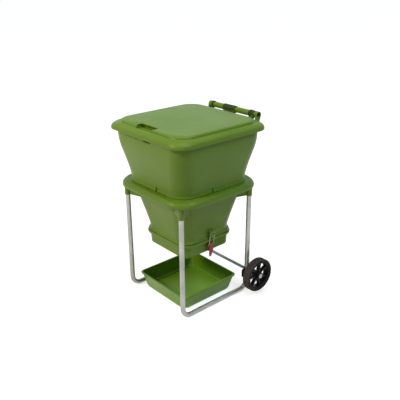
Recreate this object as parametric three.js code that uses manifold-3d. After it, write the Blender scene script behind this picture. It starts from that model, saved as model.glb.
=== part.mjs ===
// Free-standing worm composter on a tube frame: two bin sections, lid, floor, drip tray, wheels.
// Lengths are in millimetres, Z is up, the front is -Y and the right side is +X.
import * as THREE from 'three'
import Module from 'manifold-3d'

const wasm = await Module()
wasm.setup()

// Gaps: between fixed pieces, and between pieces that turn on each other.
const fitGap = 0.3
const runGap = 0.4

// Tube frame. The legs stand in from the lower bin's top edge at the sides and out from it at the
// front and back. The sockets reach down from that edge.
const legInset = 8
const legOutset = 1.5
const tubeWidth = 25
const tubeWall = 1.5
const tubeBend = 50
const socketDrop = 89.6
const socketDepth = 68
const socketWall = 2.8
const pinWidth = 6
const pinHeadWidth = 12
const pinHeadHeight = 2
const pinRise = 34
const pinReach = 6

// Floor pan. Rows: height above its underside, inset from the rim's half width, corner radius.
const floorFoot = 280
const panHalf = 171
const panWall = 4
const panRows = [
  [0, 29, 30], [1.5, 24, 34], [5, 21.5, 36], [41, 18, 42], [56, 15, 50],
  [61, 5, 63], [65, 0.5, 67], [75, 0, 68], [79, 2, 67],
]
const panRimWidth = 11
const sealHeight = 2
const sealWidth = 7
const sealInset = 4
const ribHeight = 13
const ribWidth = 4
const ribShares = [-0.76, -0.28, 0.28, 0.76]
const filterThickness = 3
const filterCorner = 30
const filterSlot = 14
const filterLand = 12
const filterCount = 4
const drainHole = 54
const drainFlange = 6
const drainNeck = 6
const drainSlot = 5

// Lower bin section: its foot stands in from the pan's rim, and it widens to its top.
const lowerHeight = 275
const lowerFootInset = 7
const lowerFootCorner = 77
const lowerLipCorner = 69
const lowerTopHalf = 222
const lowerTopCorner = 96
const binWall = 4
const footLip = 3.5
const footLipHeight = 7
// Pairs: share of the height, share of the way from the foot's width to the top's width.
const lowerFlareShares = [
  [0.04, 0], [0.12, 0.02], [0.16, 0.06], [0.229, 0.135], [0.458, 0.4], [0.651, 0.635],
  [0.865, 0.88], [1, 1],
]
// Collar at its top. Rows: drop below the top, outset from the wall, corner radius.
const collarRows = [
  [0, 28, 108], [3, 35, 111], [9, 41.5, 113], [17, 46, 115], [26, 47, 115], [33, 45.5, 115],
]
const webThickness = 5
const webRise = 1
const webShort = 29
const webLong = 91

// Upper bin section: its foot stands out from the top of the lower one.
const upperHeight = 268
const upperFootOutset = 6.5
const upperFootCorner = 94
const upperTopHalf = 265
const upperTopCorner = 80
const upperLipHeight = 4
const upperFlareShares = [
  [0.045, 0], [0.123, 0.03], [0.2, 0.112], [0.33, 0.29], [0.425, 0.44], [0.571, 0.68],
  [0.642, 0.8], [0.72, 0.9], [0.795, 0.96], [1, 1],
]
const clipWidth = 9
const clipHeight = 19
const clipThickness = 4
const clipShift = 38

// Finger pocket in the collar of the upper section, under the lid's front edge.
const pocketLeft = 8
const pocketRight = 54
const pocketTop = 5
const pocketBottom = 25
const pocketDepth = 6.5
const pocketBacking = 3.5
const pocketMargin = 6

// Lid. Rows: height above the band's lower edge, inset from the band's half width, corner radius.
const bandOverhang = 20.3
const bandDrop = 8
const lidWall = 4
const lidRows = [
  [0, 0, 74], [6, -0.7, 74.5], [14, 0.8, 75], [22, 5.3, 75.5], [28, 13, 76.5], [32, 23, 78],
  [32.2, 32, 79], [40.5, 34.5, 79], [44.5, 39, 78], [46, 52, 74],
]
const lidCrown = 4
const crownShare = 0.28
const lidRibInset = 17.3
const lidRibWidth = 8
const lidRibTop = 31
const tongueLeft = -26
const tongueRight = 8
const tongueThickness = 5
const tongueDrop = 20
const tongueGap = 0.9
const scoopHalf = 64
const scoopShift = -8
const scoopInset = 35.3
const scoopDepth = 36
const scoopFloor = 28
const scoopUndercut = 10
const scoopLip = 38.5
const scoopCorner = 13
const scoopBacking = 5
const scoopMargin = 7

// Bar along the rear, its arms on the bin and the lid's clips on it. It lies behind and above
// the upper bin's top edge.
const barReach = 50.4
const barRise = 33.7
const barWidth = 30
const barWall = 2.5
const barHalf = 176
const bossWall = 1.6
const bossLength = 21
const armThickness = 7
const armFootTop = 13
const armFootBottom = 55
const armFootDepth = 9
const armTopDepth = 25
const armReach = 16
const sleeveWall = 1.8
const sleeveRib = 1.2
const strapThickness = 3.5
const strapFoot = 2
const strapHead = 30
const clipLeftLength = 11.9
const clipMidLength = 87
const clipMidShift = -22.5
const clipRightLength = 36
const clipWebInset = 10
const clipRibCounts = { left: 1, mid: 4, right: 2 }
const clipRibShares = { left: 1, mid: 1, right: 0.7 }

// Latches, drawn for the right side. The lever turns on a pivot just inside the pan's rim, the
// wire loop hooks into the lever below that, and its top bar pulls down on the keeper's ledge.
const pivotInset = 2
const pivotRise = 47
const hookInset = 9
const hookDrop = 23
const ledgeOutset = 17
const ledgeRise = 71
const crankOutset = 6.5
const crankRise = 6
const wireWidth = 3.5
const wireBend = 2.2
const loopHalf = 14.5
const leverHalf = 12
const leverSkin = 3
const leverTopRise = 10.5
const leverDrop = 70
const leverTipHalf = 4
const leverTipInset = 0.5
const leverKneeDrop = 29
const leverTaperDrop = 43
const leverOutset = 8
const cheekInset = 4.4
const cheekTopInset = 4.5
const cheekDrop = 11
const latchPinWidth = 4
const lugHalf = 6
const lugRadius = 4.4
const plateHalf = 15
const plateThickness = 3
const plateDrop = 36
const plateHeight = 29
const keeperHalf = 12
const keeperDrop = 34
const keeperTopRise = 9
const keeperTopDepth = 13
const keeperReach = 6
const keeperStep = 5
const keeperTail = 10
const keeperBelly = 10
const ledgeGap = 0.4

// Axle and wheels.
const axleHeight = 118
const axleWidth = 16
const axleGap = 0.25
const wheelReach = 76.5
const wheelWidth = 180
const tyreWidth = 44
const tyreDepth = 15.5
const tyreRound = 5
const rimWidth = 38
const rimDepth = 8
const hubWidth = 38
const hubLength = 44.6
const spokeWidth = 10
const spokeLength = 18
const spokeCount = 7
const bushWidth = 26
const capWidth = 26
const capLength = 7
const capCover = 3

// Brackets: a sleeve round each rear leg where the axle crosses it, with a lug to the front.
const bracketWall = 3.5
const bracketRise = 12
const bracketDrop = 48
const lugReach = 17
const bracketLugHalf = 9
const bracketLugRise = 3
const bracketLugDrop = 42
const bracketLugEase = 4

// Drip tray on the ground. Rows: height, inset from the rim's half width, corner radius.
const trayClearance = 15
const trayShiftX = -9
const trayShiftY = -3
const trayWall = 3
const trayRows = [
  [0, 30, 34], [2, 25, 36], [6, 21.5, 37], [14, 17.5, 37], [78, 7, 20], [79.5, 1, 22],
  [86.5, 0, 22], [88, 1, 22],
]
const trayLedgeWidth = 10
const trayLedgeHeight = 6

// Counts for the round forms.
const cornerSteps = 6
const roundSides = 16
const tubeSides = 12
const wireSides = 8
const wheelSides = 32
const bendSteps = 5
const wireSteps = 3

// Heights and places that follow from the sizes above.
const floorTop = floorFoot + panRows.at(-1)[0]
const sealFoot = floorTop + fitGap
const lowerFoot = sealFoot + sealHeight + fitGap
const lowerTop = lowerFoot + lowerHeight
const upperFoot = lowerTop + fitGap
const upperTop = upperFoot + upperHeight
const lidRest = upperTop + fitGap
const bandFoot = lidRest - bandDrop
const lowerFootHalf = panHalf - lowerFootInset
const upperFootHalf = lowerTopHalf + upperFootOutset
const bandHalf = upperTopHalf + bandOverhang
const legX = lowerTopHalf - legInset
const legY = lowerTopHalf + legOutset
const socketFoot = lowerTop - socketDrop
const barY = upperTopHalf + barReach
const barHeight = upperTop + barRise
const barAcross = [barY, barHeight]
const wheelX = legX + wheelReach
const trayHalf = legX - tubeWidth / 2 - trayClearance
const axleAcross = [legY, axleHeight]

// Solids.

function solidFrom(points, faces) {
  let volume = 0
  for (const [a, b, c] of faces) {
    const cross = new THREE.Vector3().crossVectors(points[b], points[c])
    volume += points[a].dot(cross)
  }
  const outward = volume < 0 ? faces.map(([a, b, c]) => [a, c, b]) : faces
  const mesh = new wasm.Mesh({
    numProp: 3,
    vertProperties: Float32Array.from(points.flatMap((point) => point.toArray())),
    triVerts: Uint32Array.from(outward.flat()),
  })
  return new wasm.Manifold(mesh)
}

// A skin through rings of equally many points: closed into a hoop, or with both ends capped.
function loft(rings, hoop = false) {
  const count = rings[0].length
  const points = rings.flat()
  const faces = []
  const last = hoop ? rings.length : rings.length - 1
  for (let row = 0; row < last; row += 1) {
    const low = row * count
    const high = ((row + 1) % rings.length) * count
    for (let k = 0; k < count; k += 1) {
      const side = (k + 1) % count
      faces.push([low + k, low + side, high + side])
      faces.push([low + k, high + side, high + k])
    }
  }
  if (!hoop) {
    addCap(points, faces, 0, count, true)
    addCap(points, faces, (rings.length - 1) * count, count, false)
  }
  return solidFrom(points, faces)
}

function addCap(points, faces, start, count, first) {
  const centre = new THREE.Vector3()
  for (let k = 0; k < count; k += 1) centre.add(points[start + k])
  points.push(centre.divideScalar(count))
  const hub = points.length - 1
  for (let k = 0; k < count; k += 1) {
    const side = (k + 1) % count
    faces.push(first ? [hub, start + side, start + k] : [hub, start + k, start + side])
  }
}

function squareRing(height, half, corner, shiftX = 0, shiftY = 0) {
  const ring = []
  for (let quarter = 0; quarter < 4; quarter += 1) {
    const middle = (Math.PI / 2) * (quarter + 1 / 2)
    const centreX = Math.sign(Math.cos(middle)) * (half - corner) + shiftX
    const centreY = Math.sign(Math.sin(middle)) * (half - corner) + shiftY
    for (let step = 0; step <= cornerSteps; step += 1) {
      const angle = (Math.PI / 2) * (quarter + step / cornerSteps)
      const x = centreX + corner * Math.cos(angle)
      const y = centreY + corner * Math.sin(angle)
      ring.push(new THREE.Vector3(x, y, height))
    }
  }
  return ring
}

// Square rings from rows of height, half width and corner radius.
function squareRings(rows, shiftX = 0, shiftY = 0) {
  return rows.map(([height, half, corner]) => squareRing(height, half, corner, shiftX, shiftY))
}

function onAxis(axis, along, u, v) {
  if (axis === 'x') return new THREE.Vector3(along, u, v)
  if (axis === 'y') return new THREE.Vector3(u, along, v)
  return new THREE.Vector3(u, v, along)
}

// The flats of a round form stand at its radius, square to the two other axes.
function roundRing(axis, along, across, radius, sides) {
  const ring = []
  const reach = radius / Math.cos(Math.PI / sides)
  for (let k = 0; k < sides; k += 1) {
    const angle = (2 * Math.PI * (k + 1 / 2)) / sides
    const u = across[0] + reach * Math.cos(angle)
    const v = across[1] + reach * Math.sin(angle)
    ring.push(onAxis(axis, along, u, v))
  }
  return ring
}

// A form turned about an axis. Profile pairs: place along the axis, radius.
function turned(axis, across, profile, hoop = false, sides = roundSides) {
  const rings = profile.map(([along, radius]) => roundRing(axis, along, across, radius, sides))
  return loft(rings, hoop)
}

function rod(axis, across, low, high, width, sides = roundSides) {
  return turned(axis, across, [[low, width / 2], [high, width / 2]], false, sides)
}

// A flat outline pushed along an axis. The outline's pairs are the two other coordinates in order.
function prism(axis, outline, low, high) {
  const vectors = outline.map(([u, v]) => new THREE.Vector2(u, v))
  if (THREE.ShapeUtils.area(vectors) < 0) vectors.reverse()
  const count = vectors.length
  const points = [low, high].flatMap((along) => vectors.map(({ x, y }) => onAxis(axis, along, x, y)))
  const faces = []
  for (const [a, b, c] of THREE.ShapeUtils.triangulateShape(vectors, [])) {
    const left = THREE.ShapeUtils.area([vectors[a], vectors[b], vectors[c]]) > 0
    const [second, third] = left ? [b, c] : [c, b]
    faces.push([a, third, second])
    faces.push([a + count, second + count, third + count])
  }
  for (let k = 0; k < count; k += 1) {
    const side = (k + 1) % count
    faces.push([k, side, side + count])
    faces.push([k, side + count, k + count])
  }
  return solidFrom(points, faces)
}

function box(lowX, highX, lowY, highY, lowZ, highZ) {
  return prism('z', [[lowX, lowY], [highX, lowY], [highX, highY], [lowX, highY]], lowZ, highZ)
}

// A path whose corners are rounded to a bend.
function roundedPath(corners, bend, steps) {
  const path = [corners[0]]
  for (let k = 1; k < corners.length - 1; k += 1) {
    const into = corners[k].clone().sub(corners[k - 1]).normalize()
    const out = corners[k + 1].clone().sub(corners[k]).normalize()
    const angle = into.angleTo(out)
    const start = corners[k].clone().addScaledVector(into, -bend * Math.tan(angle / 2))
    const inward = out.clone().addScaledVector(into, -into.dot(out)).normalize()
    for (let step = 0; step <= steps; step += 1) {
      const turn = (angle * step) / steps
      const point = start.clone().addScaledVector(into, bend * Math.sin(turn))
      path.push(point.addScaledVector(inward, bend * (1 - Math.cos(turn))))
    }
  }
  path.push(corners.at(-1))
  return path
}

// Rings along a path, square to it, mitred where it turns.
function pathRings(path, normal, radius, sides) {
  const rings = []
  const reach = radius / Math.cos(Math.PI / sides)
  const across = normal.clone()
  for (let k = 0; k < path.length; k += 1) {
    const before = path[Math.max(k, 1)].clone().sub(path[Math.max(k - 1, 0)]).normalize()
    const after = path[Math.min(k + 1, path.length - 1)].clone()
    after.sub(path[Math.min(k, path.length - 2)]).normalize()
    const plane = before.clone().add(after).normalize()
    const other = new THREE.Vector3().crossVectors(before, across)
    const ring = []
    for (let side = 0; side < sides; side += 1) {
      const angle = (2 * Math.PI * (side + 1 / 2)) / sides
      const offset = across.clone().multiplyScalar(reach * Math.cos(angle))
      offset.addScaledVector(other, reach * Math.sin(angle))
      offset.addScaledVector(before, -offset.dot(plane) / before.dot(plane))
      ring.push(offset.add(path[k]))
    }
    rings.push(ring)
    across.applyQuaternion(new THREE.Quaternion().setFromUnitVectors(before, after))
  }
  return rings
}

// The same rows, moved inward by a wall. The two ends keep their heights.
function insideRows(rows, wall) {
  return rows.map(([height, half, corner], k) => {
    const low = rows[Math.max(k - 1, 0)]
    const high = rows[Math.min(k + 1, rows.length - 1)]
    const rise = high[0] - low[0]
    const run = high[1] - low[1]
    const length = Math.hypot(rise, run)
    const inward = (wall * rise) / length
    const down = k === 0 || k === rows.length - 1 ? 0 : (wall * run) / length
    return [height + down, half - inward, Math.max(corner - inward, wall)]
  })
}

// The rows of a cut, carried on below its foot and, where it is open, above its top.
function extended(rows, below, above = 0) {
  const foot = [rows[0][0] - below, rows[0][1], rows[0][2]]
  const last = rows.at(-1)
  const top = above > 0 ? [[last[0] + above, last[1], last[2]]] : []
  return [foot, ...rows, ...top]
}

function flareRows(foot, height, footHalf, footCorner, topHalf, topCorner, shares) {
  return shares.map(([heightShare, flareShare]) => [
    foot + height * heightShare,
    footHalf + (topHalf - footHalf) * flareShare,
    footCorner + (topCorner - footCorner) * heightShare,
  ])
}

// Meshes.

const group = new THREE.Group()
group.name = 'wormery'

function material(color, roughness, metalness = 0) {
  return new THREE.MeshStandardMaterial({ color, roughness, metalness })
}

const green = [0x76863f, 0.45]
const darkGreen = [0x4f5f28, 0.5]
const trayGreen = [0x86a03c, 0.4]
const silver = [0xb9bdb8, 0.35, 0.7]
const steel = [0x9a9c9b, 0.3, 0.9]
const black = [0x171614, 0.6]
const rubber = [0x1d1b1a, 0.9]
const red = [0x8c3134, 0.4]

function addPart(name, solid, look, turn = 0, mirrored = false) {
  const { vertProperties, triVerts } = solid.getMesh()
  const geometry = new THREE.BufferGeometry()
  const positions = Float32Array.from(vertProperties)
  const index = Array.from(triVerts)
  if (mirrored) {
    for (let k = 0; k < positions.length; k += 3) positions[k] *= -1
    index.reverse()
  }
  geometry.setAttribute('position', new THREE.BufferAttribute(positions, 3))
  geometry.setIndex(index)
  geometry.rotateZ(turn)
  geometry.computeVertexNormals()
  const mesh = new THREE.Mesh(geometry, material(...look))
  mesh.name = name
  group.add(mesh)
}

// A part on the right and its mirror image on the left.
function addPair(name, solid, look) {
  addPart(`${name}_right`, solid, look)
  addPart(`${name}_left`, solid, look, 0, true)
}

// Lid.

function lidSolid() {
  const outside = lidRows.map(([rise, inset, corner]) => [bandFoot + rise, bandHalf - inset, corner])
  const [edgeHeight, edgeHalf, edgeCorner] = outside.at(-1)
  outside.push([edgeHeight + lidCrown, edgeHalf * crownShare, edgeCorner * crownShare])
  const inside = extended(insideRows(outside, lidWall), lidWall)
  inside.at(-1)[0] -= lidWall
  const rib = [bandHalf - lidRibInset, bandHalf - lidRibInset - lidRibWidth]
  const ribCorner = upperTopCorner
  const ribRows = [
    [lidRest, rib[0], ribCorner], [bandFoot + lidRibTop, rib[0], ribCorner],
    [bandFoot + lidRibTop, rib[1], ribCorner - lidRibWidth], [lidRest, rib[1], ribCorner - lidRibWidth],
  ]
  const ribTop = bandFoot + lidRibTop - lidWall
  const front = -(upperTopHalf + tongueGap)
  const tongueFoot = lidRest - tongueDrop
  const tongue = box(tongueLeft, tongueRight, front - tongueThickness, front, tongueFoot, ribTop)
  const low = bandFoot + scoopFloor
  const near = scoopInset - bandHalf
  const far = near + scoopDepth
  const backing = squareBlock(
    scoopHalf + scoopMargin, near - scoopMargin / 2, far + scoopUndercut + scoopMargin,
    low - scoopBacking, bandFoot + lidRows[7][0],
  )
  const open = squareBlock(scoopHalf, near, far, low, edgeHeight + lidCrown)
  const under = squareBlock(scoopHalf, near, far + scoopUndercut, low, bandFoot + scoopLip)
  let solid = loft(squareRings(outside)).subtract(loft(squareRings(inside)))
  solid = solid.add(loft(squareRings(ribRows), true)).add(tongue).add(backing)
  return solid.subtract(open).subtract(under)
}

// A block with rounded corners in plan, centred on the scoop.
function squareBlock(half, lowY, highY, lowZ, highZ) {
  const outline = []
  const corners = [[half, highY], [-half, highY], [-half, lowY], [half, lowY]]
  corners.forEach(([x, y], quarter) => {
    const centreX = x - Math.sign(x) * scoopCorner
    const centreY = y === highY ? y - scoopCorner : y + scoopCorner
    for (let step = 0; step <= bendSteps; step += 1) {
      const angle = (Math.PI / 2) * (quarter + step / bendSteps)
      const u = centreX + scoopShift + scoopCorner * Math.cos(angle)
      outline.push([u, centreY + scoopCorner * Math.sin(angle)])
    }
  })
  return prism('z', outline, lowZ, highZ)
}

// A clip: a strap on the lid's rear edge, a web and a ribbed sleeve that turns on the bar.
function clipSolid(span, ribCount, ribShare) {
  const [low, high] = span
  const near = lidRows.filter(([rise]) => rise >= strapFoot && rise <= strapHead)
  const edge = near.map(([rise, inset]) => [bandHalf - inset + fitGap, bandFoot + rise + fitGap])
  const outer = edge.map(([y, z]) => [y + strapThickness, z + strapThickness])
  const webLow = low + Math.min(clipWebInset, (high - low) / 4)
  const strap = prism('x', [...edge, ...outer.reverse()], webLow, high)
  const bore = barWidth / 2 + runGap
  const radius = bore + sleeveWall
  const web = prism('x', [
    [edge[0][0] + fitGap, edge[0][1]], [barY - bore / 2, barHeight - bore - sleeveWall / 2],
    [barY - bore - sleeveWall / 2, barHeight], [edge[0][0] + fitGap, edge[1][1] + strapThickness],
  ], webLow, high)
  let solid = strap.add(web).add(rod('x', barAcross, low, high, 2 * radius))
  const pitch = ((high - low) * ribShare) / ribCount
  for (let k = 0; k < ribCount; k += 1) {
    const start = low + pitch * k
    solid = solid.add(rod('x', barAcross, start, start + pitch * (2 / 3), 2 * (radius + sleeveRib)))
  }
  return solid.subtract(rod('x', barAcross, low - sleeveRib, high + sleeveRib, 2 * bore))
}

// The two outer clips lie against the arms' bosses.
const clipEnd = barHalf - bossLength - 2 * fitGap
const clipSpans = {
  left: [-clipEnd, clipLeftLength - clipEnd],
  mid: [clipMidShift - clipMidLength / 2, clipMidShift + clipMidLength / 2],
  right: [clipEnd - clipRightLength, clipEnd],
}

addPart('lid_shell', lidSolid(), green)
for (const place of ['left', 'mid', 'right']) {
  const solid = clipSolid(clipSpans[place], clipRibCounts[place], clipRibShares[place])
  addPart(`hinge_clip_${place}`, solid, darkGreen)
}

// Upper bin section.

function upperSolid() {
  const lip = [
    [upperFoot, upperFootHalf + footLip, upperFootCorner + footLip],
    [upperFoot + upperLipHeight, upperFootHalf + footLip, upperFootCorner + footLip],
  ]
  const outside = [...lip, ...flareRows(
    upperFoot, upperHeight, upperFootHalf, upperFootCorner, upperTopHalf, upperTopCorner,
    upperFlareShares,
  )]
  const inside = insideRows(outside, binWall)
  inside[0][1] = inside[2][1]
  inside[1][1] = inside[2][1]
  const wallY = -upperTopHalf
  const backing = box(
    pocketLeft - pocketMargin, pocketRight + pocketMargin, wallY + binWall / 2,
    wallY + pocketDepth + pocketBacking, upperTop - pocketBottom - pocketMargin,
    upperTop - pocketTop + pocketMargin / 2,
  )
  const pocket = box(
    pocketLeft, pocketRight, wallY - pocketDepth, wallY + pocketDepth,
    upperTop - pocketBottom, upperTop - pocketTop,
  )
  const core = loft(squareRings(extended(inside, binWall, binWall)))
  return loft(squareRings(outside)).subtract(core).add(backing).subtract(pocket)
}

addPart('upper_bin', upperSolid(), green)

// Small clips on the collar hook over the lip of the section above, one on each side.
function snapSolid(shift) {
  const lip = upperFootHalf + footLip + fitGap
  const wall = upperFootHalf + fitGap
  const rise = upperHeight * upperFlareShares[0][0] + fitGap
  const outline = [
    [lip, upperFoot], [lip + clipThickness, upperFoot], [lip + clipThickness, upperFoot + clipHeight / 2],
    [lip + clipThickness / 2, upperFoot + clipHeight], [wall + fitGap, upperFoot + clipHeight],
    [wall, upperFoot + rise], [lip, upperFoot + upperLipHeight + fitGap],
  ]
  return prism('x', outline, shift - clipWidth / 2, shift + clipWidth / 2)
}

addPart('snap_clip_front', snapSolid(-clipShift), green, Math.PI)
addPart('snap_clip_back', snapSolid(clipShift), green)
addPart('snap_clip_right', snapSolid(clipShift), green, -Math.PI / 2)
addPart('snap_clip_left', snapSolid(-clipShift), green, Math.PI / 2)

// Bar along the rear and the arms that hold its ends.

const barRadius = barWidth / 2
const barProfile = [
  [-barHalf, barRadius], [barHalf, barRadius], [barHalf, barRadius - barWall],
  [-barHalf, barRadius - barWall],
]
addPart('hinge_bar', turned('x', barAcross, barProfile, true), green)

function armSolid() {
  const low = barHalf - bossLength
  const face = upperTopHalf + fitGap
  const boss = barRadius + fitGap + bossWall
  const foot = [upperTop - armFootTop, upperTop - armFootBottom]
  const outline = [
    [face, foot[0]], [face + armTopDepth, foot[0]], [barY - boss, barHeight - bossWall],
    [barY + boss - bossWall, barHeight - boss / 2], [barY + bossWall / 2, foot[0] - armFootTop / 2],
    [face + armReach + armFootDepth, foot[1] + armReach], [face + armFootDepth, foot[1]],
    [face, foot[1]],
  ]
  const web = prism('x', outline, barHalf - armThickness, barHalf)
  const solid = web.add(rod('x', barAcross, low, barHalf, 2 * boss))
  return solid.subtract(rod('x', barAcross, low - bossWall, barHalf + bossWall, barWidth + 2 * fitGap))
}

addPair('hinge_arm', armSolid(), green)

// Lower bin section with its collar, leg sockets and webs.

const socketWidth = tubeWidth + 2 * (fitGap + socketWall)
const tubeTop = socketFoot + socketDepth - fitGap
const pinHeight = socketFoot + pinRise
const legCorners = [[1, 1], [1, -1], [-1, 1], [-1, -1]]

const lowerOutside = [
  [lowerFoot, lowerFootHalf + footLip, lowerLipCorner],
  [lowerFoot + footLipHeight, lowerFootHalf + footLip, lowerLipCorner],
  ...flareRows(
    lowerFoot, lowerHeight, lowerFootHalf, lowerFootCorner, lowerTopHalf, lowerTopCorner,
    lowerFlareShares,
  ),
]

function lowerSolid() {
  const outside = lowerOutside
  const inside = insideRows(outside, binWall)
  inside[0][1] = inside[2][1]
  inside[1][1] = inside[2][1]
  const collar = collarRows.map(([drop, outset, corner]) => [
    lowerTop - drop, lowerTopHalf + outset, corner,
  ])
  const skirt = collar.map(([height, half, corner], k) => [
    height - (k === collar.length - 1 ? 0 : binWall * (1 - k / (collar.length - 1))),
    half - binWall * (k === 0 ? 0 : 1), corner - binWall,
  ])
  const root = [lowerTopHalf - binWall / 2, lowerTopCorner]
  const collarLoop = [[lowerTop, ...root], ...collar, ...skirt.reverse(), [lowerTop - binWall, ...root]]
  const under = collar.map(([height, half, corner]) => [
    height - binWall / 2, half - binWall / 2, corner - binWall / 2,
  ])
  under.push([socketFoot - webRise, under.at(-1)[1], under.at(-1)[2]])
  const underside = loft(squareRings(under))
  let solid = loft(squareRings(outside)).add(loft(squareRings(collarLoop), true))
  for (const [sideX, sideY] of legCorners) {
    const across = [sideX * legX, sideY * legY]
    const socket = rod('z', across, socketFoot, lowerTop, socketWidth)
    solid = solid.add(underside.intersect(socket))
    for (const [runX, runY] of [[webShort, webLong], [webLong, webShort]]) {
      const end = [across[0] - sideX * runX, across[1] - sideY * runY]
      const length = Math.hypot(runX, runY)
      const asideX = ((webThickness / 2) * sideY * runY) / length
      const asideY = ((webThickness / 2) * sideX * runX) / length
      const web = prism('z', [
        [across[0] - asideX, across[1] + asideY], [across[0] + asideX, across[1] - asideY],
        [end[0] + asideX, end[1] - asideY], [end[0] - asideX, end[1] + asideY],
      ], socketFoot + webRise, lowerTop)
      solid = solid.add(underside.intersect(web))
    }
  }
  const reach = legX + socketWidth
  for (const [sideX, sideY] of legCorners) {
    const across = [sideX * legX, sideY * legY]
    const depth = [socketFoot - webRise, socketFoot + socketDepth]
    solid = solid.subtract(rod('z', across, ...depth, tubeWidth + 2 * fitGap, tubeSides))
    const hole = [Math.min(sideX * legX, sideX * reach), Math.max(sideX * legX, sideX * reach)]
    solid = solid.subtract(rod('x', [across[1], pinHeight], ...hole, pinWidth + 2 * fitGap))
  }
  return solid.subtract(loft(squareRings(extended(inside, binWall, binWall))))
}

addPart('lower_bin', lowerSolid(), green)

// Floor: seal, pan, strainer plate and drain insert.

const panOutside = panRows.map(([rise, inset, corner]) => [floorFoot + rise, panHalf - inset, corner])
const panFloor = floorFoot + panWall
const panTopHalf = panOutside.at(-1)[1] - panRimWidth

function panSolid() {
  const inside = insideRows(panOutside, panWall).filter(([height]) => height > panFloor)
  const rim = inside.slice(0, -3)
  const top = [floorTop + panWall, panTopHalf, panRows.at(-1)[2] - panRimWidth]
  const bottom = [panFloor, rim[0][1] - panWall / 4, rim[0][2] - panWall / 4]
  const lift = [floorTop, top[1], top[2]]
  const core = loft(squareRings([bottom, ...rim, lift, top]))
  const half = panOutside[2][1] - panWall
  let solid = loft(squareRings(panOutside)).subtract(core)
  for (const share of ribShares) {
    const middle = half * share
    const span = half * (1 - share * share) ** (1 / 4)
    const ends = [middle - ribWidth / 2, middle + ribWidth / 2]
    solid = solid.add(box(...ends, -span, span, panFloor - panWall / 2, panFloor + ribHeight))
  }
  return solid.subtract(rod('z', [0, 0], floorFoot - panWall, panFloor + panWall, drainHole))
}

function sealSolid() {
  const half = panOutside.at(-1)[1] - sealInset
  const corner = panRows.at(-1)[2] - sealInset
  const inner = [half - sealWidth, corner - sealWidth]
  const top = sealFoot + sealHeight
  return loft(squareRings([
    [sealFoot, half, corner], [top, half, corner], [top, ...inner], [sealFoot, ...inner],
  ]), true)
}

function filterSolid() {
  const foot = panFloor + ribHeight + fitGap
  const half = panOutside[2][1] - panWall - fitGap
  const top = foot + filterThickness
  let solid = loft(squareRings([[foot, half, filterCorner], [top, half, filterCorner]]))
  const edges = [-1, ...ribShares, 1].map((share) => share * half)
  for (let column = 1; column < edges.length; column += 1) {
    const middle = (edges[column - 1] + edges[column]) / 2
    const wide = Math.min(filterSlot, edges[column] - edges[column - 1] - ribWidth - filterLand)
    for (let row = 0; row < filterCount; row += 1) {
      const pitch = (2 * (half - filterCorner)) / filterCount
      const start = -half + filterCorner + pitch * row + filterLand / 2
      const cut = [foot - filterThickness, top + filterThickness]
      const span = [start, start + pitch - filterLand]
      solid = solid.subtract(box(middle - wide / 2, middle + wide / 2, ...span, ...cut))
    }
  }
  return solid
}

function drainSolid() {
  const neck = drainHole - 2 * fitGap
  const foot = floorFoot - drainNeck
  const flange = [panFloor + fitGap, panFloor + fitGap + drainSlot / 2]
  let solid = rod('z', [0, 0], foot, flange[1], neck)
  solid = solid.add(rod('z', [0, 0], ...flange, drainHole + 2 * drainFlange))
  for (const place of [-2, -1, 0, 1, 2]) {
    const middle = place * drainSlot * 2
    const half = Math.sqrt((neck / 2) ** 2 - middle ** 2) - drainSlot
    const cut = [foot - drainSlot, flange[1] + drainSlot]
    solid = solid.subtract(box(middle - drainSlot / 2, middle + drainSlot / 2, -half, half, ...cut))
  }
  return solid
}

addPart('floor_pan', panSolid(), green)
addPart('floor_seal', sealSolid(), rubber)
addPart('floor_filter', filterSolid(), darkGreen)
addPart('drain_grid', drainSolid(), darkGreen)

// Latches.

const pivotX = panHalf - pivotInset
const pivotHeight = floorFoot + pivotRise
const hookX = pivotX - hookInset
const hookHeight = pivotHeight - hookDrop
const ledgeX = pivotX + ledgeOutset
const ledgeHeight = pivotHeight + ledgeRise
const pivotAcross = [pivotX, pivotHeight]

// Half width of a wall at a height, from its rows.
function halfAt(rows, height) {
  const k = rows.findIndex(([top]) => top > height)
  const share = (height - rows[k - 1][0]) / (rows[k][0] - rows[k - 1][0])
  return rows[k - 1][1] + (rows[k][1] - rows[k - 1][1]) * share
}

// Outline points along a wall between two heights, a gap away from it.
function alongWall(rows, low, high) {
  const between = rows.map(([height]) => height).filter((height) => height > low && height < high)
  return [low, ...between, high].map((height) => [halfAt(rows, height) + fitGap, height])
}

function keeperSolid() {
  const run = [ledgeX - hookX, ledgeHeight - hookHeight]
  const length = Math.hypot(...run)
  const drop = (wireWidth / 2 + ledgeGap) / length
  const under = [ledgeX - run[0] * drop, ledgeHeight - run[1] * drop]
  const slope = run[0] / run[1]
  const ledge = (x) => [x, under[1] - (x - under[0]) * slope]
  const tip = ledge(ledgeX + keeperReach)
  const foot = ledgeHeight - keeperDrop
  const top = ledgeHeight + keeperTopRise
  const back = alongWall(lowerOutside, foot, top)
  return prism('y', [
    ...back.reverse(), [ledgeX - keeperBelly, foot], [tip[0], tip[1] - keeperTail], tip,
    ledge(ledgeX - keeperStep), [ledgeX - keeperTopDepth, top],
  ], -keeperHalf, keeperHalf)
}

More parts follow.
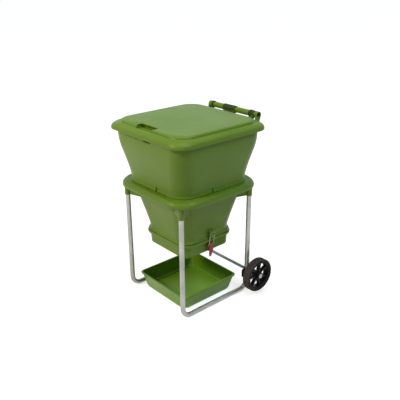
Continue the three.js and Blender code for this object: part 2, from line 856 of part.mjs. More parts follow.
function latchBaseSolid() {
  const foot = pivotHeight - plateDrop
  const back = alongWall(panOutside, foot, foot + plateHeight)
  const low = back[0]
  const high = back.at(-1)
  const front = back.map(([x, height]) => [x + plateThickness, height])
  const plate = prism('y', [...back, ...front.reverse()], -plateHalf, plateHalf)
  const root = halfAt(panOutside, pivotHeight + lugRadius) + 2 * fitGap
  const lug = prism('y', [
    [low[0] + plateThickness / 2, foot + plateThickness], [pivotX, pivotHeight - lugRadius],
    [pivotX, pivotHeight + lugRadius], [root, pivotHeight + lugRadius],
    [high[0] + plateThickness / 2, high[1]],
  ], -lugHalf, lugHalf)
  const boss = rod('y', pivotAcross, -lugHalf, lugHalf, 2 * lugRadius)
  const cut = rod('y', pivotAcross, -plateHalf, plateHalf, latchPinWidth + 2 * fitGap)
  return plate.add(lug).add(boss).subtract(cut)
}

function leverSolid() {
  const front = pivotX + leverOutset
  const innerFront = front - leverSkin
  const top = pivotHeight + leverTopRise
  const knee = pivotHeight - leverKneeDrop
  const taper = pivotHeight - leverTaperDrop
  const tip = [pivotX - leverTipInset, pivotHeight - leverDrop]
  const skin = prism('y', [
    [innerFront, top], [front, top], [front, knee], tip, [tip[0] - leverSkin, tip[1]],
    [innerFront, knee],
  ], -leverHalf, leverHalf)
  const face = prism('x', [
    [-leverHalf, top], [-leverHalf, taper], [-leverTipHalf, tip[1]], [leverTipHalf, tip[1]],
    [leverHalf, taper], [leverHalf, top],
  ], hookX, front + leverSkin)
  let solid = skin.intersect(face)
  const cheekFoot = hookHeight - cheekDrop
  const cheek = [
    [pivotX - cheekTopInset, top], [front - leverSkin / 2, top], [front - leverSkin / 2, cheekFoot],
    [hookX - cheekInset, cheekFoot], [hookX - cheekInset, hookHeight + lugRadius],
    [pivotX - cheekTopInset, pivotHeight],
  ]
  for (const side of [1, -1]) {
    const ends = [side * leverHalf, side * (leverHalf - leverSkin)].sort((a, b) => a - b)
    solid = solid.add(prism('y', cheek, ...ends))
  }
  const wide = leverHalf + leverSkin
  solid = solid.subtract(rod('y', [hookX, hookHeight], -wide, wide, wireWidth + 2 * fitGap))
  return solid.subtract(rod('y', pivotAcross, -wide, wide, latchPinWidth + 2 * fitGap))
}

function loopSolid() {
  const inner = leverHalf - leverSkin + fitGap
  const crankX = pivotX + crankOutset
  const crankHeight = pivotHeight + crankRise
  const corners = [
    [hookX, -inner, hookHeight], [hookX, -loopHalf, hookHeight], [crankX, -loopHalf, crankHeight],
    [ledgeX, -loopHalf, ledgeHeight], [ledgeX, loopHalf, ledgeHeight],
    [crankX, loopHalf, crankHeight], [hookX, loopHalf, hookHeight], [hookX, inner, hookHeight],
  ].map((corner) => new THREE.Vector3(...corner))
  const path = roundedPath(corners, wireBend, wireSteps)
  return loft(pathRings(path, new THREE.Vector3(0, 0, 1), wireWidth / 2, wireSides))
}

addPair('keeper', keeperSolid(), green)
addPair('latch_base', latchBaseSolid(), green)
addPair('latch_lever', leverSolid(), red)
addPair('latch_loop', loopSolid(), steel)
addPair('latch_pin', rod('y', pivotAcross, -leverHalf, leverHalf, latchPinWidth, wireSides), steel)

// Leg frames and the pins that lock them in the sockets.

function frameSolid() {
  const low = tubeWidth / 2
  const corners = [
    [legX, -legY, tubeTop], [legX, -legY, low], [legX, legY, low], [legX, legY, tubeTop],
  ].map((corner) => new THREE.Vector3(...corner))
  const path = roundedPath(corners, tubeBend, bendSteps)
  const across = new THREE.Vector3(1, 0, 0)
  const outer = pathRings(path, across, tubeWidth / 2, tubeSides)
  const inner = pathRings(path, across, tubeWidth / 2 - tubeWall, tubeSides)
  let solid = loft([...outer, ...inner.reverse()], true)
  const reach = legX + tubeWidth
  for (const side of [1, -1]) {
    const hole = rod('x', [side * legY, pinHeight], legX, reach, pinWidth + 2 * fitGap)
    solid = solid.subtract(hole)
  }
  return solid.subtract(rod('x', axleAcross, legX - tubeWidth, reach, axleWidth + 2 * axleGap))
}

addPair('leg_frame', frameSolid(), silver)
for (const [place, side] of [['front', -1], ['back', 1]]) {
  const head = legX + socketWidth / 2 + fitGap
  const across = [side * legY, pinHeight]
  const shank = rod('x', across, head - socketWall - pinReach, head + pinHeadHeight, pinWidth)
  const solid = shank.add(rod('x', across, head, head + pinHeadHeight, pinHeadWidth))
  addPair(`leg_pin_${place}`, solid, green)
}

// Axle, spacers, wheels, tyres and end caps.

const axleBore = axleWidth + 2 * axleGap
const hubEnds = [wheelX - hubLength / 2, wheelX + hubLength / 2]
const capFoot = hubEnds[1] + runGap
const axleEnd = capFoot + capLength - capCover
addPart('axle', rod('x', axleAcross, -axleEnd, axleEnd, axleWidth), steel)

const sleeveWidth = tubeWidth + 2 * (fitGap + bracketWall)

function bracketSolid() {
  const ends = [axleHeight - bracketDrop, axleHeight + bracketRise]
  const front = legY - tubeWidth / 2 - lugReach
  const lugFoot = axleHeight - bracketLugDrop
  const lugTop = axleHeight + bracketLugRise
  const lug = prism('x', [
    [legY, lugFoot], [front + bracketLugEase, lugFoot], [front, lugFoot + bracketLugEase],
    [front, lugTop - bracketLugEase], [front + bracketLugEase, lugTop], [legY, lugTop],
  ], legX - bracketLugHalf, legX + bracketLugHalf)
  const sleeve = rod('z', [legX, legY], ...ends, sleeveWidth).add(lug)
  const through = [ends[0] - bracketWall, ends[1] + bracketWall]
  const bore = rod('z', [legX, legY], ...through, tubeWidth + 2 * fitGap, tubeSides)
  const cross = rod('x', axleAcross, legX - sleeveWidth, legX + sleeveWidth, axleBore)
  return sleeve.subtract(bore).subtract(cross)
}

addPair('axle_bracket', bracketSolid(), black)

const bushEnds = [legX + sleeveWidth / 2 + fitGap, hubEnds[0] - runGap]
const bushSolid = turned('x', axleAcross, [
  [bushEnds[0], bushWidth / 2], [bushEnds[1], bushWidth / 2],
  [bushEnds[1], axleBore / 2], [bushEnds[0], axleBore / 2],
], true)
addPair('axle_bush', bushSolid, black)

const tyreInner = wheelWidth / 2 - tyreDepth

function wheelSolid() {
  const outer = tyreInner - fitGap
  const ends = [wheelX - rimWidth / 2, wheelX + rimWidth / 2]
  const hub = [[hubEnds[0], hubWidth / 2], [hubEnds[1], hubWidth / 2]]
  let solid = turned('x', axleAcross, [
    [ends[0], outer], [ends[1], outer], [ends[1], outer - rimDepth], [ends[0], outer - rimDepth],
  ], true, wheelSides)
  solid = solid.add(turned('x', axleAcross, hub))
  const spoke = [wheelX - spokeLength / 2, wheelX + spokeLength / 2]
  for (let k = 0; k < spokeCount; k += 1) {
    const angle = (2 * Math.PI * (k + 1 / 2)) / spokeCount
    const out = outer - rimDepth / 2
    const place = (along, aside) => [
      axleAcross[0] + along * Math.cos(angle) - aside * Math.sin(angle),
      axleAcross[1] + along * Math.sin(angle) + aside * Math.cos(angle),
    ]
    const half = spokeWidth / 2
    solid = solid.add(prism('x', [
      place(hubWidth / 4, -half), place(out, -half), place(out, half), place(hubWidth / 4, half),
    ], ...spoke))
  }
  const wide = [hubEnds[0] - axleGap, hubEnds[1] + axleGap]
  return solid.subtract(rod('x', axleAcross, ...wide, axleBore))
}

function tyreSolid() {
  const half = tyreWidth / 2
  const outer = wheelWidth / 2
  const profile = [
    [-half, tyreInner + tyreRound / 2], [-half, outer - tyreRound],
    [-half + tyreRound, outer], [half - tyreRound, outer],
    [half, outer - tyreRound], [half, tyreInner + tyreRound / 2],
    [half - tyreRound / 2, tyreInner], [-half + tyreRound / 2, tyreInner],
  ]
  return turned('x', axleAcross, profile.map(([x, radius]) => [wheelX + x, radius]), true, wheelSides)
}

function capSolid() {
  const radius = capWidth / 2
  const bore = axleWidth / 2 + axleGap
  const top = capFoot + capLength
  const blind = top - capCover + axleGap
  const solid = turned('x', axleAcross, [
    [capFoot, radius], [capFoot + capLength / 2, radius], [top - capCover / 2, radius * (3 / 4)],
    [top, radius / 2],
  ])
  return solid.subtract(rod('x', axleAcross, capFoot - capCover, blind, 2 * bore))
}

addPair('wheel', wheelSolid(), black)
addPair('tyre', tyreSolid(), rubber)
addPair('axle_cap', capSolid(), steel)

// Drip tray.

function traySolid() {
  const outside = trayRows.map(([height, inset, corner]) => [height, trayHalf - inset, corner])
  const ledge = trayWall + trayLedgeHeight
  const inside = insideRows(outside.filter(([height]) => height > ledge), trayWall)
  const top = outside.at(-1)
  const wall = inside.slice(0, 2)
  const floorHalf = wall[0][1] - trayLedgeWidth
  const floorCorner = wall[0][2] - trayLedgeWidth
  const mouth = [top[0], wall[1][1] + trayWall / 2, wall[1][2] + trayWall / 2]
  const above = [top[0] + trayWall, mouth[1], mouth[2]]
  const step = [
    [trayWall, floorHalf - trayWall / 2, floorCorner - trayWall / 2], [ledge, floorHalf, floorCorner],
    [ledge, wall[0][1] - trayWall, wall[0][2] - trayWall],
  ]
  const core = loft(squareRings([...step, ...wall, mouth, above], trayShiftX, trayShiftY))
  return loft(squareRings(outside, trayShiftX, trayShiftY)).subtract(core)
}

addPart('drip_tray', traySolid(), trayGreen)

// The origin is on the ground, under the middle of the whole part.
const bounds = new THREE.Box3().setFromObject(group)
const middle = bounds.getCenter(new THREE.Vector3())
for (const mesh of group.children) mesh.geometry.translate(-middle.x, -middle.y, -bounds.min.z)

export default group
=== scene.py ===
# Worm composter on a tube frame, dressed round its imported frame.
# Shapes are drawn in millimetres in the bin's own frame: the bin's middle is X 0, Y 0
# and the ground is Z 0. Front is -Y and right is +X.
from math import copysign, cos, hypot, pi, radians, sin, sqrt, tan
import bpy
import bmesh
from mathutils import Matrix, Vector


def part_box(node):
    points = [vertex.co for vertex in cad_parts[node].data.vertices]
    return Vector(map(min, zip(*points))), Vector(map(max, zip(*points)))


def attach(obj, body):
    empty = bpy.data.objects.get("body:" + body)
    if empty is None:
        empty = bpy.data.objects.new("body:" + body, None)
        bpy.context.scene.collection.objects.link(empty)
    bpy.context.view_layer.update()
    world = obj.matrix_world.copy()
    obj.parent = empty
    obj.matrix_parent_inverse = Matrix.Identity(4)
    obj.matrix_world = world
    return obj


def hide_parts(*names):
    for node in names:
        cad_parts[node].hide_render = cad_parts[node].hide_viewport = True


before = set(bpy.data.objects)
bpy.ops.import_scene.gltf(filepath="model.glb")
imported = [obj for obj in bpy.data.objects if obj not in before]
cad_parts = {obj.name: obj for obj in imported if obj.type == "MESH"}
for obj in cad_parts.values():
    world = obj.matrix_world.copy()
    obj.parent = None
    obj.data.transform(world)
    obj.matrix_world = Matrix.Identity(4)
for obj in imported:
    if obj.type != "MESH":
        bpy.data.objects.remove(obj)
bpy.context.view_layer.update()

MM = 0.001
bin_low, bin_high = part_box("lower_bin")
BIN_Y = (bin_low.y + bin_high.y) / 2

# Fineness of the round forms.
CORNER_STEPS = 14
ROUND_SIDES = 48
TUBE_SIDES = 28
WIRE_SIDES = 14
BEND_STEPS = 12
FILLET_STEPS = 4
FLARE_ROWS = 26

# A corner flatter than this isn't filleted, and a fillet takes no more of an edge than this share.
NEARLY_STRAIGHT = radians(176)
FILLET_SHARE = 0.45
# Edges sharper than the first angle are bevelled, and those sharper than the second shaded sharp.
BEVEL_ANGLE = radians(32)
SHARP_ANGLE = radians(35)

# Gaps between pieces, and how far a cutter reaches past what it cuts.
FIT_GAP = 0.3
RUN_GAP = 0.4
CUT_PAST = 5

# Heights of the stack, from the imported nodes.
PAN_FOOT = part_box("floor_pan")[0].z / MM
PAN_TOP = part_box("floor_pan")[1].z / MM
LOWER_FOOT = bin_low.z / MM
LOWER_TOP = bin_high.z / MM
UPPER_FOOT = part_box("upper_bin")[0].z / MM
UPPER_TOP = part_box("upper_bin")[1].z / MM
BAND_DROP = 8
LID_REST = UPPER_TOP + FIT_GAP
BAND_FOOT = LID_REST - BAND_DROP

# Measures that several sections share. A leg is placed by X and Y, and the axle by Y and Z.
UPPER_HALF = 265
LEG = (214, 223.5)
AXLE = (LEG[1], 118)
TYRE_RADIUS = 90
TREAD_RADIUS = TYRE_RADIUS - 2


# Mesh helpers.

def solid(points, faces):
    """A closed mesh object from points in millimetres, with its faces turned outward."""
    mesh = bpy.data.meshes.new("solid")
    mesh.from_pydata([(x * MM, y * MM + BIN_Y, z * MM) for x, y, z in points], [], faces)
    shell = bmesh.new()
    shell.from_mesh(mesh)
    bmesh.ops.recalc_face_normals(shell, faces=shell.faces)
    shell.to_mesh(mesh)
    shell.free()
    made = bpy.data.objects.new("solid", mesh)
    bpy.context.collection.objects.link(made)
    return made


def loft(rings, hoop=False):
    """A skin through rings of equally many points: closed into a hoop, or capped at both ends."""
    count = len(rings[0])
    points = [point for ring in rings for point in ring]
    faces = []
    for row in range(len(rings) if hoop else len(rings) - 1):
        low, high = row * count, ((row + 1) % len(rings)) * count
        for k in range(count):
            side = (k + 1) % count
            faces.append((low + k, low + side, high + side, high + k))
    if not hoop:
        faces.append(tuple(range(count)))
        faces.append(tuple(range(len(points) - count, len(points))))
    return solid(points, faces)


def polar(centre, radius, angle):
    return centre[0] + radius * cos(angle), centre[1] + radius * sin(angle)


def square_ring(height, half, corner, middle=(0, 0)):
    """A level ring in the form of a square with round corners."""
    ring = []
    for quarter in range(4):
        diagonal = pi / 2 * (quarter + 1 / 2)
        centre_x = copysign(half - corner, cos(diagonal)) + middle[0]
        centre_y = copysign(half - corner, sin(diagonal)) + middle[1]
        for step in range(CORNER_STEPS + 1):
            angle = pi / 2 * (quarter + step / CORNER_STEPS)
            ring.append((*polar((centre_x, centre_y), corner, angle), height))
    return ring


def square_loft(rows, hoop=False, middle=(0, 0)):
    return loft([square_ring(*row, middle) for row in rows], hoop)


def filleted(profile, radius, closed=False):
    """The profile with each of its corners eased by about that radius."""
    count = len(profile)
    made = []
    for k, here in enumerate(profile):
        if not closed and k in (0, count - 1):
            made.append(tuple(here))
            continue
        point = Vector(here)
        back = Vector(profile[k - 1]) - point
        ahead = Vector(profile[(k + 1) % count]) - point
        if back.angle(ahead) > NEARLY_STRAIGHT:
            made.append(tuple(here))
            continue
        reach = min(radius, back.length * FILLET_SHARE, ahead.length * FILLET_SHARE)
        start = point + back.normalized() * reach
        end = point + ahead.normalized() * reach
        for step in range(FILLET_STEPS + 1):
            share = step / FILLET_STEPS
            made.append(tuple(start.lerp(point, share).lerp(point.lerp(end, share), share)))
    return made


def flowing(rows, count):
    """The same rows as one smooth curve, resampled."""
    made = []
    last = len(rows) - 1
    for k in range(count + 1):
        place = k / count * last
        index = min(int(place), last - 1)
        share = place - index
        around = [Vector(rows[min(max(index + j, 0), last)]) for j in (-1, 0, 1, 2)]
        slope_in = (around[2] - around[0]) / 2
        slope_out = (around[3] - around[1]) / 2
        t2, t3 = share ** 2, share ** 3
        point = (around[1] * (2 * t3 - 3 * t2 + 1) + slope_in * (t3 - 2 * t2 + share)
                 + around[2] * (3 * t2 - 2 * t3) + slope_out * (t3 - t2))
        made.append(tuple(point))
    return made


def raised(rows, foot):
    return [(foot + rise, half, corner) for rise, half, corner in rows]


def inside_rows(rows, wall):
    """The same rows moved inward by a wall, with the two ends at their heights."""
    made = []
    for k, (height, half, corner) in enumerate(rows):
        low, high = rows[max(k - 1, 0)], rows[min(k + 1, len(rows) - 1)]
        rise, run = high[0] - low[0], high[1] - low[1]
        length = hypot(rise, run)
        inward = wall * rise / length
        down = 0 if k in (0, len(rows) - 1) else wall * run / length
        made.append((height + down, half - inward, max(corner - inward, wall)))
    return made


def on_axis(axis, along, u, v):
    """A point given by its place along an axis and the two places across it."""
    return {"x": (along, u, v), "y": (u, along, v), "z": (u, v, along)}[axis]


def round_ring(axis, along, across, radius, sides):
    turns = [2 * pi * (k + 1 / 2) / sides for k in range(sides)]
    return [on_axis(axis, along, *polar(across, radius, turn)) for turn in turns]


def turned(axis, across, profile, hoop=False, sides=ROUND_SIDES):
    """A form turned about an axis, from pairs of place along it and radius."""
    rings = [round_ring(axis, along, across, radius, sides) for along, radius in profile]
    return loft(rings, hoop)


def rod(axis, across, low, high, width, ease=0.0, sides=ROUND_SIDES):
    """A round rod whose ends are eased."""
    radius = width / 2
    profile = [(low, radius), (high, radius)]
    if ease:
        profile = filleted([(low, radius - 2 * ease), *profile, (high, radius - 2 * ease)], ease)
    return turned(axis, across, profile, sides=sides)


def prism(axis, outline, low, high):
    """An outline drawn out along an axis."""
    count = len(outline)
    points = [on_axis(axis, along, u, v) for along in (low, high) for u, v in outline]
    faces = [tuple(range(count)), tuple(range(count, 2 * count))]
    faces += [(k, (k + 1) % count, (k + 1) % count + count, k + count) for k in range(count)]
    return solid(points, faces)


def block(low_x, high_x, low_y, high_y, low_z, high_z):
    outline = [(low_x, low_y), (high_x, low_y), (high_x, high_y), (low_x, high_y)]
    return prism("z", outline, low_z, high_z)


def rounded_path(corners, bend, steps=BEND_STEPS):
    """A path of straight runs joined by round bends."""
    path = [Vector(corners[0])]
    for before, here, after in zip(corners, corners[1:], corners[2:]):
        into = (Vector(here) - Vector(before)).normalized()
        out = (Vector(after) - Vector(here)).normalized()
        angle = into.angle(out)
        start = Vector(here) - into * bend * tan(angle / 2)
        inward = (out - into * into.dot(out)).normalized()
        for step in range(steps + 1):
            turn = angle * step / steps
            path.append(start + into * bend * sin(turn) + inward * bend * (1 - cos(turn)))
    path.append(Vector(corners[-1]))
    return path


def path_rings(path, normal, radius, sides):
    """Rings square to a path, mitred where it turns."""
    rings = []
    across = Vector(normal)
    last = len(path) - 1
    for k, point in enumerate(path):
        before = (path[max(k, 1)] - path[max(k - 1, 0)]).normalized()
        after = (path[min(k + 1, last)] - path[min(k, last - 1)]).normalized()
        plane = (before + after).normalized()
        other = before.cross(across)
        ring = []
        for side in range(sides):
            angle = 2 * pi * (side + 1 / 2) / sides
            offset = across * radius * cos(angle) + other * radius * sin(angle)
            offset -= before * offset.dot(plane) / before.dot(plane)
            ring.append(tuple(point + offset))
        rings.append(ring)
        across = before.rotation_difference(after) @ across
    return rings


def settle(target):
    """Applies the modifiers of an object to its mesh."""
    shape = target.evaluated_get(bpy.context.evaluated_depsgraph_get())
    mesh = bpy.data.meshes.new_from_object(shape)
    target.modifiers.clear()
    target.data = mesh
    return target


def combine(target, tool, operation):
    """Joins, cuts or crosses an object with a tool, and deletes the tool."""
    change = target.modifiers.new(operation, "BOOLEAN")
    change.operation = operation
    change.solver = "MANIFOLD"
    change.object = tool
    settle(target)
    bpy.data.objects.remove(tool)
    return target


def joined(first, *others):
    for other in others:
        combine(first, other, "UNION")
    return first


def cut(target, *tools):
    for tool in tools:
        combine(target, tool, "DIFFERENCE")
    return target


def eased(target, width, steps=2):
    """Eases the sharp edges of an object."""
    change = target.modifiers.new("ease", "BEVEL")
    change.width = width * MM
    change.segments = steps
    change.limit_method = "ANGLE"
    change.angle_limit = BEVEL_ANGLE
    change.miter_outer = "MITER_ARC"
    return settle(target)


def mirrored(source):
    """A copy of an object mirrored to the left side."""
    twin = source.copy()
    twin.data = source.data.copy()
    bpy.context.collection.objects.link(twin)
    twin.data.transform(Matrix.Scale(-1, 4, (1, 0, 0)))
    twin.data.flip_normals()
    return twin


def piece(made, name, node, body, slot, look):
    """Names and finishes an object, and lets it stand for its node on that node's body."""
    made.name = name
    made.data.name = name
    made.data.materials.clear()
    made.data.materials.append(look)
    made.data.shade_smooth()
    made.data.set_sharp_from_angle(angle=SHARP_ANGLE)
    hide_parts(node)
    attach(made, body)
    return made


def pair(made, name, node, bodies, slot, look):
    """A right piece and its mirror image on the left."""
    twin = mirrored(made)
    piece(made, f"{name}_r", f"{node}_right", bodies[0], slot, look)
    piece(twin, f"{name}_l", f"{node}_left", bodies[1], slot, look)


BOTH_BASE = ("base", "base")
BOTH_WHEELS = ("right_wheel", "left_wheel")


# Materials.

def linear(*levels):
    """A colour written in display levels from 0 to 255, as a linear colour with full alpha."""
    shares = [level / 255 for level in levels]
    return (*[s / 12.92 if s <= 0.04045 else ((s + 0.055) / 1.055) ** 2.4 for s in shares], 1)


def feed(tree, value, socket):
    """Links a value from another node to a socket, or sets it there."""
    if isinstance(value, bpy.types.NodeSocket):
        tree.links.new(value, socket)
    else:
        socket.default_value = value


def scaled_sum(tree, value, share, added):
    """A value times a share, plus what is added."""
    made = tree.nodes.new("ShaderNodeMath")
    made.operation = "MULTIPLY_ADD"
    for term, socket in zip((value, share, added), made.inputs):
        feed(tree, term, socket)
    return made.outputs[0]


def colour_mix(tree, share, first, second):
    """The first colour, with a share of the second in it."""
    made = tree.nodes.new("ShaderNodeMix")
    made.data_type = "RGBA"
    for place, value in ((0, share), (6, first), (7, second)):
        feed(tree, value, made.inputs[place])
    return made.outputs[2]


class Recipe:
    """A material under construction, with short calls for its nodes."""

    def __init__(self, name, **values):
        self.material = bpy.data.materials.new(name)
        self.material.use_nodes = True
        self.tree = self.material.node_tree
        self.shader = self.tree.nodes["Principled BSDF"]
        for socket, value in values.items():
            self.shader.inputs[socket.replace("_", " ")].default_value = value
        self.place = self.node("ShaderNodeTexCoord").outputs["Object"]

    def node(self, kind, **inputs):
        made = self.tree.nodes.new(kind)
        for socket, value in inputs.items():
            self.feed(value, made.inputs[socket.replace("_", " ")])
        return made

    def feed(self, value, socket):
        feed(self.tree, value, socket)

    def stretched(self, scale):
        return self.node("ShaderNodeMapping", Vector=self.place, Scale=scale).outputs["Vector"]

    def noise(self, scale, detail=3, vector=None, roughness=0.55):
        made = self.node(
            "ShaderNodeTexNoise", Vector=vector or self.place, Scale=scale, Detail=detail,
            Roughness=roughness)
        return made.outputs["Fac"]

    def ranged(self, value, low, high, to_low=0.0, to_high=1.0):
        made = self.node(
            "ShaderNodeMapRange", Value=value, From_Min=low, From_Max=high, To_Min=to_low,
            To_Max=to_high)
        return made.outputs["Result"]

    def tinted(self, tint, field, low, high, colour, most=1.0):
        """A tint with another colour in it, up to a share, as a field rises between two levels."""
        share = self.ranged(field, low, high, 0, most)
        return colour_mix(self.tree, share, tint, linear(*colour))

    def maths(self, kind, operation, first, second):
        made = self.tree.nodes.new(kind)
        made.operation = operation
        for term, socket in zip((first, second), made.inputs):
            self.feed(term, socket)
        return made

    def sum(self, first, second, share=1.0):
        return scaled_sum(self.tree, second, share, first)

    def bump(self, height, strength, distance):
        made = self.node("ShaderNodeBump", Height=height, Strength=strength, Distance=distance)
        self.feed(made.outputs["Normal"], self.shader.inputs["Normal"])

    def colour(self, value):
        self.feed(value, self.shader.inputs["Base Color"])

    def roughness(self, value):
        self.feed(value, self.shader.inputs["Roughness"])


# Depths of the surface grain in metres, and how much paler a rubbed place is.
FINE_GRAIN = 0.0002
COARSE_GRAIN = 0.0004
WORN_LIFT = 14
# The breadth in metres over which the dust on the tread begins.
TREAD_EDGE = 0.003


def moulded(name, bright, deep, rough=0.42, grain=0.25, specular=0.5):
    """Moulded plastic: cloudy tint, fine spark grain, faint rub marks."""
    recipe = Recipe(name, Specular_IOR_Level=specular)
    clouds = recipe.noise(5, 4)
    speckle = recipe.noise(420, 2)
    spark = recipe.noise(1500, 3)
    rubs = recipe.noise(60, 4, recipe.stretched((9, 9, 1)), 0.7)
    worn = [level + WORN_LIFT for level in bright]
    tint = recipe.tinted(linear(*bright), clouds, 0.35, 0.68, deep)
    tint = recipe.tinted(tint, speckle, 0.62, 0.8, deep, 0.16)
    recipe.colour(recipe.tinted(tint, rubs, 0.6, 0.78, worn, 0.2))
    wear = recipe.sum(rubs, clouds, 0.6)
    recipe.roughness(recipe.ranged(wear, 0.5, 1.1, rough - 0.07, rough + 0.1))
    recipe.bump(recipe.sum(spark, speckle, 0.6), grain, COARSE_GRAIN)
    return recipe.material


def silver_tube(name):
    """Satin silver tube: drawn streaks, faint cloudiness."""
    recipe = Recipe(name, Metallic=0.8)
    streaks = recipe.noise(90, 3, recipe.stretched((6, 6, 0.4)))
    clouds = recipe.noise(14, 4)
    flecks = recipe.noise(700, 2)
    tint = recipe.tinted(linear(172, 173, 169), clouds, 0.35, 0.7, (146, 147, 144))
    recipe.colour(recipe.tinted(tint, streaks, 0.5, 0.75, (194, 195, 190), 0.35))
    recipe.roughness(recipe.ranged(recipe.sum(streaks, flecks, 0.4), 0.4, 1.0, 0.28, 0.44))
    recipe.bump(flecks, 0.12, FINE_GRAIN)
    return recipe.material


def bright_steel(name, tone, rough):
    """Plated steel wire and rod: turning lines and small dull spots."""
    recipe = Recipe(name, Metallic=0.85)
    lines = recipe.noise(600, 2, recipe.stretched((0.2, 3, 3)))
    spots = recipe.noise(160, 4)
    dull = [level * 0.72 for level in tone]
    recipe.colour(recipe.tinted(linear(*tone), spots, 0.52, 0.75, dull, 0.7))
    wear = recipe.sum(lines, spots, 0.5)
    recipe.roughness(recipe.ranged(wear, 0.45, 1.0, rough - 0.08, rough + 0.14))
    recipe.bump(lines, 0.15, FINE_GRAIN)
    return recipe.material


def soft_rubber(name, tone, dusty, tread=None):
    """Black rubber with a bloom of dust. A tread is a tyre's middle and where its dust begins."""
    recipe = Recipe(name, Specular_IOR_Level=0.15)
    dust = recipe.noise(28, 5, roughness=0.7)
    if tread:
        middle, radius = tread
        flat = recipe.maths("ShaderNodeVectorMath", "MULTIPLY", recipe.place, (0, 1, 1))
        reach = recipe.maths("ShaderNodeVectorMath", "DISTANCE", flat.outputs["Vector"], middle)
        bloom = recipe.ranged(reach.outputs["Value"], radius - TREAD_EDGE, radius, -0.1, 0.3)
        dust = recipe.sum(dust, bloom)
    pores = recipe.noise(1100, 2)
    recipe.colour(recipe.tinted(linear(*tone), dust, 0.4, 0.8, dusty, 0.6))
    recipe.roughness(recipe.ranged(dust, 0.35, 0.7, 0.62, 0.88))
    recipe.bump(pores, 0.35, COARSE_GRAIN)
    return recipe.material


def finish(slot, recipe, *values, **more):
    """The name of a piece's slot, with the material that is made for it."""
    return slot, recipe(slot, *values, **more)


GREEN = finish("green_plastic", moulded, (101, 131, 36), (94, 125, 30), rough=0.36, specular=0.2)
DARK_GREEN = finish("dark_green_plastic", moulded, (50, 68, 12), (42, 60, 8), specular=0.15)
TRAY_GREEN = finish(
    "tray_plastic", moulded, (114, 156, 40), (104, 147, 32), rough=0.3, specular=0.3)
RED = finish("red_plastic", moulded, (150, 30, 34), (132, 22, 28), rough=0.36, grain=0.12)
BLACK = finish("black_plastic", moulded, (18, 15, 13), (12, 10, 9), rough=0.5, specular=0.12)
SILVER = finish("silver_tube", silver_tube)
WIRE = finish("wire_steel", bright_steel, (150, 152, 138), 0.26)
STEEL = finish("axle_steel", bright_steel, (160, 156, 156), 0.3)
SEAL = finish("seal_rubber", soft_rubber, (24, 30, 16), (44, 52, 32))
TYRE_MIDDLE = (0, AXLE[0] * MM + BIN_Y, AXLE[1] * MM)
TREAD = (TYRE_MIDDLE, TREAD_RADIUS * MM)
TYRE = finish("tyre_rubber", soft_rubber, (16, 13, 12), (96, 85, 80), TREAD)


# Lid.

BAND_HALF = 285.3
LID_WALL = 4
# Rise above the band's lower edge, inset from the band's half width, corner radius.
LID_EDGE = [
    (0, 0, 74), (6, -0.7, 74.5), (14, 0.8, 75), (22, 5.3, 75.5), (28, 13, 76.5), (32, 23, 78),
]
LID_PANEL = [(32.2, 32, 79), (40.5, 34.5, 79), (44.5, 38, 78)]
LID_EDGE_ROWS = 14
LID_TOP_RISE = 46
LID_TOP_HALF = 243
LID_TOP_CORNER = 75
LID_DOME = 4
LID_DOME_SHARES = (0.94, 0.85, 0.7, 0.5, 0.3, 0.12)
# The rib under the lid that stands on the bin, inside its band.
LID_RIB_OUTER = 17.3
LID_RIB_WIDTH = 8
LID_RIB_TOP = 31
LID_RIB_CORNERS = (80, 72)
# The tongue that drops in front of the bin, from one X to another.
TONGUE = (-26, 8)
TONGUE_DROP = 20
TONGUE_DEEP = 5
TONGUE_GAP = 0.9
# The finger scoop: distances in front of the middle, rises above the band's lower edge, and
# the ramp that leads down to it from the front.
SCOOP_HALF = 64
SCOOP_SHIFT = -8
SCOOP_BACK = 214
SCOOP_FRONT = 250
SCOOP_FLOOR = 28
SCOOP_UNDERCUT = 10
SCOOP_LIP = 38.5
SCOOP_CORNER = 13
SCOOP_WALL = 7
SCOOP_SKIN = 5
SCOOP_BACKING_TOP = 39
SCOOP_OPEN_TOP = 60
RAMP_REACH = 9
RAMP_RISE = 6
RAMP_INSET = 6
RAMP_HEIGHT = 20


def lid_rows():
    """The lid's outer face, from the foot of its band to the middle of its top."""
    flat, panel = (
        [(rise, BAND_HALF - inset, corner) for rise, inset, corner in rows]
        for rows in (LID_EDGE, LID_PANEL))
    top = (LID_TOP_RISE, LID_TOP_HALF, LID_TOP_CORNER)
    edge = flowing(flat, LID_EDGE_ROWS) + filleted([flat[-1], *panel, top], 2.2)[1:]
    for share in LID_DOME_SHARES:
        rise = LID_TOP_RISE + LID_DOME * (1 - share ** 2)
        edge.append((rise, LID_TOP_HALF * share, LID_TOP_CORNER * share))
    return raised(edge, BAND_FOOT)


def scoop_block(half, low_y, high_y, low_z, high_z):
    """A block with round corners in line with the finger scoop."""
    outline = []
    corners = [(half, high_y), (-half, high_y), (-half, low_y), (half, low_y)]
    for quarter, (x, y) in enumerate(corners):
        centre_x = x - copysign(SCOOP_CORNER, x) + SCOOP_SHIFT
        centre_y = y - SCOOP_CORNER if y == high_y else y + SCOOP_CORNER
        for step in range(BEND_STEPS + 1):
            angle = pi / 2 * (quarter + step / BEND_STEPS)
            outline.append(polar((centre_x, centre_y), SCOOP_CORNER, angle))
    return prism("z", outline, low_z, high_z)


